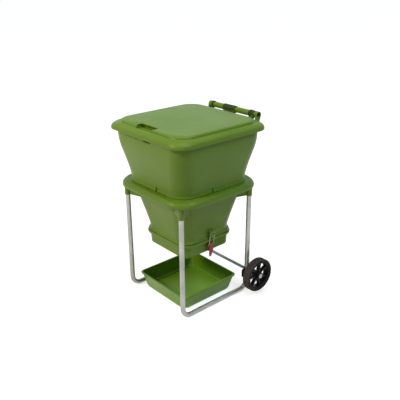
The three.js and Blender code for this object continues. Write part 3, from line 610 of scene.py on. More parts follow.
def lid():
    outside = lid_rows()
    inside = inside_rows(outside, LID_WALL)
    inside[-1] = (outside[-1][0] - LID_WALL, *inside[-1][1:])
    shell = square_loft([*reversed(inside), *outside])
    foot, top = LID_REST, BAND_FOOT + LID_RIB_TOP
    outer = (BAND_HALF - LID_RIB_OUTER, LID_RIB_CORNERS[0])
    inner = (BAND_HALF - LID_RIB_OUTER - LID_RIB_WIDTH, LID_RIB_CORNERS[1])
    rib = [(foot, *outer), (top, *outer), (top, *inner), (foot, *inner)]
    face = -(UPPER_HALF + TONGUE_GAP)
    tongue = block(*TONGUE, face - TONGUE_DEEP, face, LID_REST - TONGUE_DROP, top - LID_WALL)
    front, back = -SCOOP_FRONT, -SCOOP_BACK
    low = BAND_FOOT + SCOOP_FLOOR
    backing = scoop_block(
        SCOOP_HALF + SCOOP_WALL, front - SCOOP_WALL / 2, back + SCOOP_UNDERCUT + SCOOP_WALL,
        low - SCOOP_SKIN, BAND_FOOT + SCOOP_BACKING_TOP)
    shell = joined(shell, square_loft(rib, hoop=True), tongue, backing)
    hollow = scoop_block(SCOOP_HALF, front, back, low, BAND_FOOT + SCOOP_OPEN_TOP)
    under = scoop_block(SCOOP_HALF, front, back + SCOOP_UNDERCUT, low, BAND_FOOT + SCOOP_LIP)
    near, far, over = front - RAMP_REACH, front + RAMP_INSET, low + RAMP_HEIGHT
    slope = [(near, low + RAMP_RISE), (far, low), (far, over), (near, over)]
    half = SCOOP_HALF - RAMP_INSET
    ramp = prism("x", slope, SCOOP_SHIFT - half, SCOOP_SHIFT + half)
    return eased(cut(shell, hollow, under, ramp), 0.9)


piece(lid(), "lid_moulding", "lid_shell", "lid", *GREEN)


# Hinge bar, the arms that hold its ends and the lid's clips on it.

# Y and Z of the bar's middle.
BAR = (315.4, 938.6)
BAR_WIDTH = 30
BAR_WALL = 2.5
BAR_HALF = 176
BOSS_WALL = 1.6
BOSS_LENGTH = 21
ARM_THICKNESS = 7
# Reach of the arm's knee from the bin, and drops of its root's ends below the bin's top.
ARM_KNEE = 25
ARM_ROOT = (13, 55)
SLEEVE_WALL = 1.8
SLEEVE_RIB = 1.2
# Rises of the lid's edge between which a clip lies on it, and the clip's skin there.
CLIP_RISES = (2, 30)
CLIP_SKIN = 3.5
# Span along the bar, number of ribs, share of the span that they take.
CLIPS = {
    "left": ((-154.4, -142.5), 1, 1.0),
    "mid": ((-66, 21), 4, 1.0),
    "right": ((118.4, 154.4), 2, 0.7),
}


def hinge_bar():
    radius = BAR_WIDTH / 2
    bore = radius - BAR_WALL
    profile = [(-BAR_HALF, radius), (BAR_HALF, radius), (BAR_HALF, bore), (-BAR_HALF, bore)]
    return turned("x", BAR, filleted(profile, 0.8, closed=True), hoop=True)


def hinge_arm():
    low = BAR_HALF - BOSS_LENGTH
    face = UPPER_HALF + FIT_GAP
    boss = BAR_WIDTH / 2 + FIT_GAP + BOSS_WALL
    knee = face + ARM_KNEE
    top, foot = (UPPER_TOP - drop for drop in ARM_ROOT)
    outline = [
        (face, top), (knee, top), (BAR[0] - boss, BAR[1] - BOSS_WALL),
        (BAR[0] + boss - BOSS_WALL, BAR[1] - boss / 2), (BAR[0] + BOSS_WALL / 2, top - 6.5),
        (knee, foot + 16), (face + 9, foot), (face, foot),
    ]
    arm = prism("x", outline, BAR_HALF - ARM_THICKNESS, BAR_HALF)
    joined(arm, rod("x", BAR, low, BAR_HALF, 2 * boss))
    cut(arm, rod("x", BAR, low - CUT_PAST, BAR_HALF + CUT_PAST, BAR_WIDTH + 2 * FIT_GAP))
    return eased(arm, 1.4, 3)


def hinge_clip(span, ribs, share):
    low, high = span
    near = [
        (BAND_HALF - inset + FIT_GAP, BAND_FOOT + rise + FIT_GAP)
        for rise, inset, corner in LID_EDGE if CLIP_RISES[0] <= rise <= CLIP_RISES[1]
    ]
    outer = [(y + CLIP_SKIN, z + CLIP_SKIN) for y, z in near]
    bore = BAR_WIDTH / 2 + RUN_GAP
    radius = bore + SLEEVE_WALL
    fin = [
        (near[0][0] + FIT_GAP, near[0][1]), (BAR[0] - bore / 2, BAR[1] - bore - SLEEVE_WALL / 2),
        (BAR[0] - bore - SLEEVE_WALL / 2, BAR[1]), (near[0][0] + FIT_GAP, near[1][1] + CLIP_SKIN),
    ]
    fin_low = low + min(10, (high - low) / 4)
    clip = prism("x", [*near, *reversed(outer)], fin_low, high)
    joined(clip, prism("x", fin, fin_low, high), rod("x", BAR, low, high, 2 * radius))
    pitch = (high - low) * share / ribs
    for k in range(ribs):
        start = low + pitch * k
        joined(clip, rod("x", BAR, start, start + pitch * 2 / 3, 2 * (radius + SLEEVE_RIB)))
    cut(clip, rod("x", BAR, low - CUT_PAST, high + CUT_PAST, 2 * bore))
    return eased(clip, 0.6)


piece(hinge_bar(), "rear_bar", "hinge_bar", "base", *GREEN)
pair(hinge_arm(), "bar_arm", "hinge_arm", BOTH_BASE, *GREEN)
for place, (span, ribs, share) in CLIPS.items():
    clip = hinge_clip(span, ribs, share)
    piece(clip, f"lid_clip_{place}", f"hinge_clip_{place}", "lid", *DARK_GREEN)


# Upper bin section and the clips over its lip.

BIN_WALL = 4
FOOT_LIP = 3.5
LIP_ROWS = 2
UPPER_FOOT_HALF = 228.5
# Height, half width and corner radius of the lip, then half width and corner radius of the
# wall's foot and top.
UPPER_LIP = (4, UPPER_FOOT_HALF + FOOT_LIP, 97.5)
UPPER_SIZES = ((UPPER_FOOT_HALF, 94), (UPPER_HALF, 80))
# Share of the height, share of the widening.
UPPER_SHARES = [
    (0.045, 0), (0.123, 0.03), (0.2, 0.112), (0.257, 0.185), (0.33, 0.29), (0.377, 0.36),
    (0.425, 0.44), (0.496, 0.56), (0.571, 0.68), (0.642, 0.8), (0.72, 0.9), (0.795, 0.96),
    (0.873, 0.99), (1, 1),
]
# The finger pocket in the front: from one X to another, and its drops below the bin's top.
POCKET = (8, 54)
POCKET_DROPS = (25, 5)
POCKET_DEEP = 6.5
POCKET_WALL = 6
# The clips over the lip, and how far each stands from the middle of its side.
SNAP_SHIFT = 38
SNAP_HALF = 4.5
SNAP_SKIN = 4
SNAP_HEIGHT = 19


def bin_outside(foot, top, lip, sizes, shares):
    """Outer rows of a bin section: its lip, and a wall that widens between two sizes."""
    height, *lip_size = lip
    (low_half, low_corner), (high_half, high_corner) = sizes
    rows = []
    for rise, spread in shares:
        half = low_half + (high_half - low_half) * spread
        corner = low_corner + (high_corner - low_corner) * rise
        rows.append((foot + (top - foot) * rise, half, corner))
    return [(foot, *lip_size), (foot + height, *lip_size), *flowing(rows, FLARE_ROWS)]


def bin_shell(outside):
    """A bin's wall from its outer rows. Its inner face runs straight past the lip."""
    inside = inside_rows(outside, BIN_WALL)
    for k in range(LIP_ROWS):
        inside[k] = (outside[k][0], *inside[LIP_ROWS][1:])
    return square_loft(filleted([*outside, *reversed(inside)], 1.3, closed=True), hoop=True)


def upper_bin():
    outside = bin_outside(UPPER_FOOT, UPPER_TOP, UPPER_LIP, UPPER_SIZES, UPPER_SHARES)
    low, high = POCKET_DROPS
    backing = block(
        POCKET[0] - POCKET_WALL, POCKET[1] + POCKET_WALL, -UPPER_HALF + 2, -UPPER_HALF + 10,
        UPPER_TOP - (low + POCKET_WALL), UPPER_TOP - 2)
    pocket = block(
        *POCKET, -UPPER_HALF - POCKET_DEEP, -UPPER_HALF + POCKET_DEEP,
        UPPER_TOP - low, UPPER_TOP - high)
    return eased(cut(joined(bin_shell(outside), backing), pocket), 0.7)


def snap_clip(shift):
    lip = UPPER_FOOT_HALF + FOOT_LIP + FIT_GAP
    wall = UPPER_FOOT_HALF + FIT_GAP
    foot = UPPER_FOOT
    outline = [
        (lip, foot), (lip + SNAP_SKIN, foot), (lip + SNAP_SKIN, foot + SNAP_HEIGHT / 2),
        (lip + SNAP_SKIN / 2, foot + SNAP_HEIGHT), (wall + FIT_GAP, foot + SNAP_HEIGHT),
        (wall, foot + 12.4), (lip, foot + 4.3),
    ]
    return eased(prism("x", outline, shift - SNAP_HALF, shift + SNAP_HALF), 0.8, 3)


piece(upper_bin(), "upper_section", "upper_bin", "base", *GREEN)
for side, shift, turn in (("front", -1, 180), ("back", 1, 0), ("right", 1, -90), ("left", -1, 90)):
    hook = snap_clip(shift * SNAP_SHIFT)
    middle = Matrix.Translation((0, BIN_Y, 0))
    hook.data.transform(middle @ Matrix.Rotation(radians(turn), 4, "Z") @ middle.inverted())
    piece(hook, f"lip_hook_{side}", f"snap_clip_{side}", "base", *GREEN)


# Lower bin section with its collar, leg sockets and webs.

LOWER_FOOT_HALF = 164
LOWER_TOP_HALF = 222
LOWER_TOP_CORNER = 96
LOWER_LIP = (7, LOWER_FOOT_HALF + FOOT_LIP, 69)
LOWER_SIZES = ((LOWER_FOOT_HALF, 77), (LOWER_TOP_HALF, LOWER_TOP_CORNER))
# Share of the height, share of the widening.
LOWER_SHARES = [
    (0.04, 0), (0.12, 0.02), (0.16, 0.06), (0.229, 0.135), (0.345, 0.26), (0.458, 0.4),
    (0.564, 0.53), (0.651, 0.635), (0.76, 0.763), (0.865, 0.88), (1, 1),
]
# Drop below the section's top, reach past its wall, corner radius.
COLLAR = [
    (0, 28, 108), (3, 35, 111), (9, 41.5, 113), (17, 46, 115), (26, 47, 115), (33, 45.5, 115),
]
COLLAR_SKIN = 4
COLLAR_ROWS = 15
TUBE_WIDTH = 25
TUBE_BORE = TUBE_WIDTH + 2 * FIT_GAP
SOCKET_WIDTH = TUBE_WIDTH + 2 * (FIT_GAP + 2.8)
SOCKET_FOOT = LOWER_TOP - 89.6
SOCKET_DEEP = 68
WEB_THICKNESS = 5
# How far each of a socket's two webs runs inward in X and Y.
WEB_RUNS = ((29, 91), (91, 29))
PIN_HEIGHT = SOCKET_FOOT + 34
PIN_WIDTH = 6
PIN_BORE = PIN_WIDTH + 2 * FIT_GAP
LEG_SIDES = [(1, 1), (1, -1), (-1, 1), (-1, -1)]
LOWER_OUTSIDE = bin_outside(LOWER_FOOT, LOWER_TOP, LOWER_LIP, LOWER_SIZES, LOWER_SHARES)


def web(leg, sides, run):
    """An upright plate from a leg's middle inward."""
    length = hypot(*run)
    aside_x = WEB_THICKNESS / 2 * sides[1] * run[1] / length
    aside_y = WEB_THICKNESS / 2 * sides[0] * run[0] / length
    end = (leg[0] - sides[0] * run[0], leg[1] - sides[1] * run[1])
    outline = [
        (leg[0] - aside_x, leg[1] + aside_y), (leg[0] + aside_x, leg[1] - aside_y),
        (end[0] + aside_x, end[1] - aside_y), (end[0] - aside_x, end[1] + aside_y),
    ]
    return prism("z", outline, SOCKET_FOOT + 1, LOWER_TOP)


def collar_skin(outer):
    """The collar, whose skin thins towards its edge."""
    root = (LOWER_TOP_HALF - BIN_WALL / 2, LOWER_TOP_CORNER)
    last = len(outer) - 1
    under = []
    for k, (height, half, corner) in enumerate(outer):
        down = 0 if k == last else COLLAR_SKIN * (1 - k / last)
        inward = COLLAR_SKIN if k else 0
        under.append((height - down, half - inward, corner - COLLAR_SKIN))
    rows = [(LOWER_TOP, *root), *outer, *reversed(under), (LOWER_TOP - COLLAR_SKIN, *root)]
    return square_loft(filleted(rows, 0.9, closed=True), hoop=True)


def leg_struts(outer):
    """The four sockets with their webs, as far as the collar covers them."""
    skin = COLLAR_SKIN / 2
    envelope = [(height - skin, half - skin, corner - skin) for height, half, corner in outer]
    envelope.append((SOCKET_FOOT - 1, *envelope[-1][1:]))
    legs = [(sides, (sides[0] * LEG[0], sides[1] * LEG[1])) for sides in LEG_SIDES]
    struts = None
    for sides, leg in legs:
        socket = rod("z", leg, SOCKET_FOOT, LOWER_TOP, SOCKET_WIDTH, 0.8)
        for run in WEB_RUNS:
            joined(socket, web(leg, sides, run))
        combine(socket, square_loft(envelope), "INTERSECT")
        struts = joined(struts, socket) if struts else socket
    for sides, leg in legs:
        bore = rod("z", leg, SOCKET_FOOT - 1, SOCKET_FOOT + SOCKET_DEEP, TUBE_BORE)
        ends = sorted((leg[0], leg[0] + sides[0] * SOCKET_WIDTH))
        cut(struts, bore, rod("x", (leg[1], PIN_HEIGHT), *ends, PIN_BORE))
    return struts


def lower_bin():
    shell = bin_shell(LOWER_OUTSIDE)
    edge = [(LOWER_TOP - drop, LOWER_TOP_HALF + reach, corner) for drop, reach, corner in COLLAR]
    outer = flowing(edge, COLLAR_ROWS)
    joined(shell, collar_skin(outer))
    middle = inside_rows(LOWER_OUTSIDE, BIN_WALL / 2)
    foot, top = middle[0], middle[-1]
    core = [(foot[0] - BIN_WALL, *foot[1:]), *middle, (top[0] + BIN_WALL, *top[1:])]
    return joined(shell, cut(leg_struts(outer), square_loft(core)))


piece(lower_bin(), "lower_section", "lower_bin", "base", *GREEN)


# Floor pan with its ribs, and the seal, strainer plate and drain insert.

PAN_WALL = 4
# Rise above the underside, half width, corner radius.
PAN_ROWS = [
    (0, 142, 30), (1.5, 147, 34), (5, 149.5, 36), (41, 153, 42), (56, 156, 50), (61, 166, 63),
    (65, 170.5, 67), (75, 171, 68), (79, 169, 67),
]
# Half width and corner radius of the inner edge at the top.
PAN_MOUTH = (158, 56)
RIB_SHARES = (-0.76, -0.28, 0.28, 0.76)
RIB_HEIGHT = 13
RIB_WIDTH = 4
DRAIN_HOLE = 54
DRAIN_DROP = 6
DRAIN_PITCH = 10
DRAIN_SLOT = 5
FLANGE_WIDTH = DRAIN_HOLE + 12
FLANGE_THICKNESS = 2.5
SEAL_HEIGHT = 2
SEAL_INSET = 4
SEAL_WIDTH = 7
FILTER_THICKNESS = 3
FILTER_CORNER = 30
FILTER_SLOT = 14
FILTER_LAND = 12
FILTER_COUNT = 4
PAN_FLOOR = PAN_FOOT + PAN_WALL
PAN_INNER = PAN_ROWS[2][1] - PAN_WALL
PAN_OUTSIDE = raised(PAN_ROWS, PAN_FOOT)


def basin(outer, inner, middle=(0, 0), ease=1.4):
    """An open dish: its inner face from the floor up, over the rim and down its outer face."""
    return square_loft(filleted([*inner, *reversed(outer)], ease), middle=middle)


def floor_pan():
    rim = [row for row in inside_rows(PAN_OUTSIDE, PAN_WALL) if row[0] > PAN_FLOOR][:-3]
    inner = [(PAN_FLOOR, rim[0][1] - 1, rim[0][2] - 1), *rim, (PAN_TOP, *PAN_MOUTH)]
    pan = basin(PAN_OUTSIDE, inner)
    for share in RIB_SHARES:
        middle = PAN_INNER * share
        span = PAN_INNER * (1 - share ** 2) ** (1 / 4)
        low, high = middle - RIB_WIDTH / 2, middle + RIB_WIDTH / 2
        joined(pan, block(low, high, -span, span, PAN_FLOOR - 2, PAN_FLOOR + RIB_HEIGHT))
    drain = rod("z", (0, 0), PAN_FOOT - PAN_WALL, PAN_FLOOR + PAN_WALL, DRAIN_HOLE)
    return eased(cut(pan, drain), 0.6)


def floor_seal():
    outer = [measure - SEAL_INSET for measure in PAN_ROWS[-1][1:]]
    inner = [measure - SEAL_WIDTH for measure in outer]
    low = PAN_TOP + FIT_GAP
    high = low + SEAL_HEIGHT
    ring = [(low, *outer), (high, *outer), (high, *inner), (low, *inner)]
    return square_loft(filleted(ring, 0.7, closed=True), hoop=True)


def long_hole(middle, low, high, width, foot, top):
    """A cutter for a slot along Y with round ends."""
    radius = width / 2
    outline = []
    for k in range(2 * BEND_STEPS + 2):
        angle = pi * (k if k <= BEND_STEPS else k - 1) / BEND_STEPS
        centre = high - radius if k <= BEND_STEPS else low + radius
        outline.append(polar((middle, centre), radius, angle))
    return prism("z", outline, foot, top)


def floor_filter():
    foot = PAN_FLOOR + RIB_HEIGHT + FIT_GAP
    half = PAN_INNER - FIT_GAP
    top = foot + FILTER_THICKNESS
    plate = square_loft([(foot, half, FILTER_CORNER), (top, half, FILTER_CORNER)])
    edges = [share * half for share in (-1, *RIB_SHARES, 1)]
    pitch = 2 * (half - FILTER_CORNER) / FILTER_COUNT
    for low, high in zip(edges, edges[1:]):
        wide = min(FILTER_SLOT, high - low - RIB_WIDTH - FILTER_LAND)
        for row in range(FILTER_COUNT):
            start = -half + FILTER_CORNER + pitch * row + FILTER_LAND / 2
            end = start + pitch - FILTER_LAND
            cut(plate, long_hole((low + high) / 2, start, end, wide, foot - 3, top + 3))
    return eased(plate, 0.4)


def drain_grid():
    neck = DRAIN_HOLE - 2 * FIT_GAP
    foot = PAN_FOOT - DRAIN_DROP
    low = PAN_FLOOR + FIT_GAP
    high = low + FLANGE_THICKNESS
    grid = rod("z", (0, 0), foot, high, neck, 0.8)
    joined(grid, rod("z", (0, 0), low, high, FLANGE_WIDTH, 0.5))
    for row in range(-2, 3):
        place = row * DRAIN_PITCH
        half = sqrt((neck / 2) ** 2 - place ** 2) - DRAIN_SLOT
        cut(grid, long_hole(place, -half, half, DRAIN_SLOT, foot - CUT_PAST, high + CUT_PAST))
    return grid


piece(floor_pan(), "floor_tray", "floor_pan", "base", *GREEN)
piece(floor_seal(), "floor_gasket", "floor_seal", "base", *SEAL)
piece(floor_filter(), "strainer_plate", "floor_filter", "base", *DARK_GREEN)
piece(drain_grid(), "drain_insert", "drain_grid", "base", *DARK_GREEN)


# Latches, drawn on the right side and mirrored.

# X and Z of the lever's pivot, of the wire's hold in the lever, of the ledge that the wire hooks
# over and of the bend in the wire.
PIVOT = (169, 327)
HOOK = (160, 304)
LEDGE = (186, 398)
CRANK = (175.5, 333)
WIRE_WIDTH = 3.5
WIRE_BEND = 2.2
LOOP_HALF = 14.5
LEVER_HALF = 12
LEVER_SKIN = 3
LEVER_TIP = (168.5, 257)
LEVER_TIP_HALF = 4
GRIP_HEIGHTS = (296, 289, 282)
LATCH_PIN = 4
LATCH_BORE = LATCH_PIN + 2 * FIT_GAP
LUG_RADIUS = 4.4
LUG_HALF = 6
SEAT_DROP = 36
SEAT_HEIGHT = 29
SEAT_HALF = 15
SEAT_SKIN = 3
KEEPER_HALF = 12
# The keeper's reach below and above its ledge.
KEEPER_SPAN = (34, 9)


def half_at(rows, height):
    """The half width of a form at a height."""
    for low, high in zip(rows, rows[1:]):
        if high[0] > height:
            return low[1] + (high[1] - low[1]) * (height - low[0]) / (high[0] - low[0])
    return rows[-1][1]


def along_wall(rows, low, high):
    """Outline points up a wall between two heights, a gap away from it."""
    heights = [low, *(row[0] for row in rows if low < row[0] < high), high]
    return [(half_at(rows, height) + FIT_GAP, height) for height in heights]


def keeper():
    run = (LEDGE[0] - HOOK[0], LEDGE[1] - HOOK[1])
    drop = (WIRE_WIDTH / 2 + 0.4) / hypot(*run)
    under = (LEDGE[0] - run[0] * drop, LEDGE[1] - run[1] * drop)

    def ledge(x):
        return (x, under[1] - (x - under[0]) * run[0] / run[1])

    tip = ledge(LEDGE[0] + 6)
    foot, top = LEDGE[1] - KEEPER_SPAN[0], LEDGE[1] + KEEPER_SPAN[1]
    outline = [
        *reversed(along_wall(LOWER_OUTSIDE, foot, top)), (LEDGE[0] - 10, foot),
        (tip[0], tip[1] - 10), tip, ledge(LEDGE[0] - 5), (LEDGE[0] - 13, top),
    ]
    return eased(prism("y", outline, -KEEPER_HALF, KEEPER_HALF), 0.8, 3)


def latch_base():
    foot = PIVOT[1] - SEAT_DROP
    low, high = PIVOT[1] - LUG_RADIUS, PIVOT[1] + LUG_RADIUS
    back = along_wall(PAN_OUTSIDE, foot, foot + SEAT_HEIGHT)
    front = [(x + SEAT_SKIN, height) for x, height in reversed(back)]
    plate = prism("y", [*back, *front], -SEAT_HALF, SEAT_HALF)
    root = half_at(PAN_OUTSIDE, high) + 2 * FIT_GAP
    lug = prism("y", [
        (back[0][0] + SEAT_SKIN / 2, foot + 3), (PIVOT[0], low), (PIVOT[0], high), (root, high),
        (back[-1][0] + SEAT_SKIN / 2, back[-1][1]),
    ], -LUG_HALF, LUG_HALF)
    joined(plate, lug, rod("y", PIVOT, -LUG_HALF, LUG_HALF, 2 * LUG_RADIUS))
    return eased(cut(plate, rod("y", PIVOT, -SEAT_HALF, SEAT_HALF, LATCH_BORE)), 0.5)


def lever():
    front = PIVOT[0] + 8
    inner = front - LEVER_SKIN
    top, knee, taper = PIVOT[1] + 10.5, PIVOT[1] - 29, PIVOT[1] - 43
    tip = LEVER_TIP
    side_view = [
        (inner, top), (front, top), (front, knee), tip, (tip[0] - LEVER_SKIN, tip[1]),
        (inner, knee),
    ]
    face = [
        (-LEVER_HALF, top), (-LEVER_HALF, taper), (-LEVER_TIP_HALF, tip[1]),
        (LEVER_TIP_HALF, tip[1]), (LEVER_HALF, taper), (LEVER_HALF, top),
    ]
    skin = prism("y", side_view, -LEVER_HALF, LEVER_HALF)
    form = prism("x", filleted(face, 5, closed=True), HOOK[0], front + LEVER_SKIN)
    combine(skin, form, "INTERSECT")
    foot = HOOK[1] - 11
    cheek = [
        (PIVOT[0] - 4.5, top), (front - 1.5, top), (front - 1.5, foot), (HOOK[0] - 4.4, foot),
        (HOOK[0] - 4.4, HOOK[1] + LUG_RADIUS), (PIVOT[0] - 4.5, PIVOT[1]),
    ]
    for side in (1, -1):
        ends = sorted((side * LEVER_HALF, side * (LEVER_HALF - LEVER_SKIN)))
        joined(skin, prism("y", filleted(cheek, 2, closed=True), *ends))
    wide = LEVER_HALF + LEVER_SKIN
    cut(skin, rod("y", HOOK, -wide, wide, WIRE_WIDTH + 2 * FIT_GAP))
    cut(skin, rod("y", PIVOT, -wide, wide, LATCH_BORE))
    for height in GRIP_HEIGHTS:
        cut(skin, rod("y", (front + 1.4, height), -7.5, 7.5, 4))
    return eased(skin, 0.6)


def loop():
    inner = LEVER_HALF - LEVER_SKIN + FIT_GAP
    arm = [(HOOK, inner), (HOOK, LOOP_HALF), (CRANK, LOOP_HALF), (LEDGE, LOOP_HALF)]
    corners = [(place[0], -aside, place[1]) for place, aside in arm]
    corners += [(place[0], aside, place[1]) for place, aside in reversed(arm)]
    path = rounded_path(corners, WIRE_BEND, 5)
    return loft(path_rings(path, (0, 0, 1), WIRE_WIDTH / 2, WIRE_SIDES))


pair(keeper(), "keeper", "keeper", BOTH_BASE, *GREEN)
pair(latch_base(), "latch_seat", "latch_base", BOTH_BASE, *GREEN)
pair(lever(), "lever", "latch_lever", ("right_lever", "left_lever"), *RED)
pair(loop(), "wire_loop", "latch_loop", ("right_loop", "left_loop"), *WIRE)
latch_pin = rod("y", PIVOT, -LEVER_HALF, LEVER_HALF, LATCH_PIN, 0.4, TUBE_SIDES)
pair(latch_pin, "lever_pin", "latch_pin", BOTH_BASE, *WIRE)


# Leg frames and the pins in their sockets.

TUBE_WALL = 1.5
TUBE_BEND = 50
TUBE_TOP = SOCKET_FOOT + SOCKET_DEEP - FIT_GAP
PIN_LENGTH = 8.8
AXLE_WIDTH = 16
AXLE_BORE = AXLE_WIDTH + 0.5


def leg_frame():
    side, far = LEG
    low = TUBE_WIDTH / 2
    corners = [(side, -far, TUBE_TOP), (side, -far, low), (side, far, low), (side, far, TUBE_TOP)]
    path = rounded_path(corners, TUBE_BEND)
    outer = path_rings(path, (1, 0, 0), low, TUBE_SIDES)
    inner = path_rings(path, (1, 0, 0), low - TUBE_WALL, TUBE_SIDES)
    frame_tube = loft([*outer, *reversed(inner)], hoop=True)
    for end in (-far, far):
        cut(frame_tube, rod("x", (end, PIN_HEIGHT), side, side + TUBE_WIDTH, PIN_BORE))
    return cut(frame_tube, rod("x", AXLE, side - TUBE_WIDTH, side + TUBE_WIDTH, AXLE_BORE))


def leg_pin(place):
    head = LEG[0] + SOCKET_WIDTH / 2 + FIT_GAP
    shank = PIN_WIDTH / 2
    tip = head - PIN_LENGTH
    profile = [
        (tip, shank - 0.8), (tip, shank), (head, shank), (head, 6), (head + 1.2, 6),
        (head + 2, 4.6),
    ]
    return turned("x", (place * LEG[1], PIN_HEIGHT), filleted(profile, 0.6))


pair(leg_frame(), "leg_tube", "leg_frame", BOTH_BASE, *SILVER)
for place, name in ((-1, "front"), (1, "back")):
    pair(leg_pin(place), f"socket_pin_{name}", f"leg_pin_{name}", BOTH_BASE, *GREEN)


# Axle, spacers, wheels, tyres and end caps.

WHEEL_X = LEG[0] + 76.5
HUB = (WHEEL_X - 22.3, WHEEL_X + 22.3)
HUB_WIDTH = 38
TYRE_DEEP = 15.5
TYRE_HALF = 22
TREAD_HALF = 17
TREAD_GROOVES = (-8, 0, 8)
GROOVE_DEEP = 1.4
RIM_RADIUS = TYRE_RADIUS - TYRE_DEEP - FIT_GAP
RIM_HALF = 19
RIM_SKIN = 4
SPOKES = 7
SPOKE_HALF = 5
SLEEVE = TUBE_WIDTH + 2 * (FIT_GAP + 3.5)
CAP_RADIUS = 13
CAP_FOOT = HUB[1] + RUN_GAP
CAP_TOP = CAP_FOOT + 7
CAP_GAP = 0.25
AXLE_END = CAP_TOP - 3


def wheel():
    low, high = WHEEL_X - RIM_HALF, WHEEL_X + RIM_HALF
    edge, inner = RIM_RADIUS - RIM_SKIN, RIM_RADIUS - 2 * RIM_SKIN
    rim = [
        (low, RIM_RADIUS), (high, RIM_RADIUS), (high, edge), (high - 5, inner), (low + 5, inner),
        (low, edge),
    ]
    made = turned("x", AXLE, filleted(rim, 1.5, closed=True), hoop=True, sides=2 * ROUND_SIDES)
    joined(made, rod("x", AXLE, *HUB, HUB_WIDTH, 1.4))
    for k in range(SPOKES):
        angle = 2 * pi * (k + 1 / 2) / SPOKES
        ahead = Vector((cos(angle), sin(angle)))
        aside = Vector((-ahead.y, ahead.x)) * SPOKE_HALF
        near, far = Vector(AXLE) + ahead * 9.5, Vector(AXLE) + ahead * edge
        outline = [
            tuple(near - aside), tuple(far - aside), tuple(far + aside), tuple(near + aside),
        ]
        joined(made, prism("x", outline, WHEEL_X - 9, WHEEL_X + 9))
    return eased(cut(made, rod("x", AXLE, HUB[0] - 1, HUB[1] + 1, AXLE_BORE)), 0.8)


def tyre():
    inner, foot = TYRE_RADIUS - TYRE_DEEP, TYRE_RADIUS - GROOVE_DEEP
    profile = [
        (-TYRE_HALF, inner + 2.5), (-TYRE_HALF, TYRE_RADIUS - 5), (-TREAD_HALF, TYRE_RADIUS),
    ]
    for groove in TREAD_GROOVES:
        profile += [
            (groove - 1.6, TYRE_RADIUS), (groove - 1, foot), (groove + 1, foot),
            (groove + 1.6, TYRE_RADIUS),
        ]
    profile += [(TREAD_HALF, TYRE_RADIUS), (TYRE_HALF, TYRE_RADIUS - 5), (TYRE_HALF, inner + 2.5)]
    profile += [(TYRE_HALF - 2.5, inner), (-TYRE_HALF + 2.5, inner)]
    placed = [(WHEEL_X + along, radius) for along, radius in filleted(profile, 2.2, closed=True)]
    return turned("x", AXLE, placed, hoop=True, sides=2 * ROUND_SIDES)


def axle_cap():
    bore = AXLE_WIDTH / 2 + CAP_GAP
    profile = [
        (AXLE_END + CAP_GAP, bore), (CAP_FOOT, bore), (CAP_FOOT, CAP_RADIUS),
        (CAP_FOOT + 3.5, CAP_RADIUS), (CAP_TOP - 1.5, CAP_RADIUS * 3 / 4),
        (CAP_TOP, CAP_RADIUS / 2),
    ]
    return turned("x", AXLE, filleted(profile, 0.9))


def axle_bracket():
    """A sleeve round the rear leg with the axle through it, and a lug on its front."""
    height = AXLE[1]
    front = LEG[1] - TUBE_WIDTH / 2 - 17
    foot, top = height - 42, height + 3
    outline = [
        (LEG[1], foot), (front + 4, foot), (front, foot + 4), (front, top - 4), (front + 4, top),
        (LEG[1], top),
    ]
    made = rod("z", LEG, height - 48, height + 12, SLEEVE, 0.6)
    joined(made, prism("x", outline, LEG[0] - 9, LEG[0] + 9))
    cut(made, rod("z", LEG, height - 52, height + 16, TUBE_BORE))
    return eased(cut(made, rod("x", AXLE, LEG[0] - SLEEVE, LEG[0] + SLEEVE, AXLE_BORE)), 0.6)


def axle_bush():
    low, high = LEG[0] + SLEEVE / 2 + FIT_GAP, HUB[0] - RUN_GAP
    bore = AXLE_BORE / 2
    profile = [(low, CAP_RADIUS), (high, CAP_RADIUS), (high, bore), (low, bore)]
    return turned("x", AXLE, filleted(profile, 0.8, closed=True), hoop=True)


axle = rod("x", AXLE, -AXLE_END, AXLE_END, AXLE_WIDTH, 0.8)
piece(axle, "axle_rod", "axle", "base", *STEEL)
pair(axle_bracket(), "leg_bracket", "axle_bracket", BOTH_BASE, *BLACK)
pair(axle_bush(), "spacer", "axle_bush", BOTH_BASE, *BLACK)
pair(wheel(), "wheel", "wheel", BOTH_WHEELS, *BLACK)
pair(tyre(), "tyre", "tyre", BOTH_WHEELS, *TYRE)
pair(axle_cap(), "end_cap", "axle_cap", BOTH_BASE, *STEEL)


# Drip tray.

# Height, half width, corner radius.
TRAY_ROWS = [
    (0, 156.5, 34), (2, 161.5, 36), (6, 165, 37), (14, 169, 37), (78, 179.5, 20),
    (79.5, 185.5, 22), (86.5, 186.5, 22), (88, 185.5, 22),
]
TRAY_WALL = 3
# Width and rise of the step round the floor, and the slope of its foot and of the rim's edge.
TRAY_LEDGE = (10, 6)
TRAY_SLOPE = 1.5
TRAY_MIDDLE = (-9, -3)


def drip_tray():
    ledge = TRAY_WALL + TRAY_LEDGE[1]
    low, high = inside_rows([row for row in TRAY_ROWS if row[0] > ledge], TRAY_WALL)[:2]
    floor_half, floor_corner = low[1] - TRAY_LEDGE[0], low[2] - TRAY_LEDGE[0]
    inner = [
        (TRAY_WALL, floor_half - TRAY_SLOPE, floor_corner - TRAY_SLOPE),
        (ledge, floor_half, floor_corner), (ledge, low[1] - TRAY_WALL, low[2] - TRAY_WALL),
        low, high, (TRAY_ROWS[-1][0], high[1] + TRAY_SLOPE, high[2] + TRAY_SLOPE),
    ]
    return basin(TRAY_ROWS, inner, TRAY_MIDDLE)


piece(drip_tray(), "drip_basin", "drip_tray", "tray", *TRAY_GREEN)


# Floor, light and camera, in metres.

FLOOR_SIZE = 60
# Distances between which the floor's glow grows from near to far.
FADE = (0.7, 2.4)
LAMP_TARGET = (0, 0, 0.5)
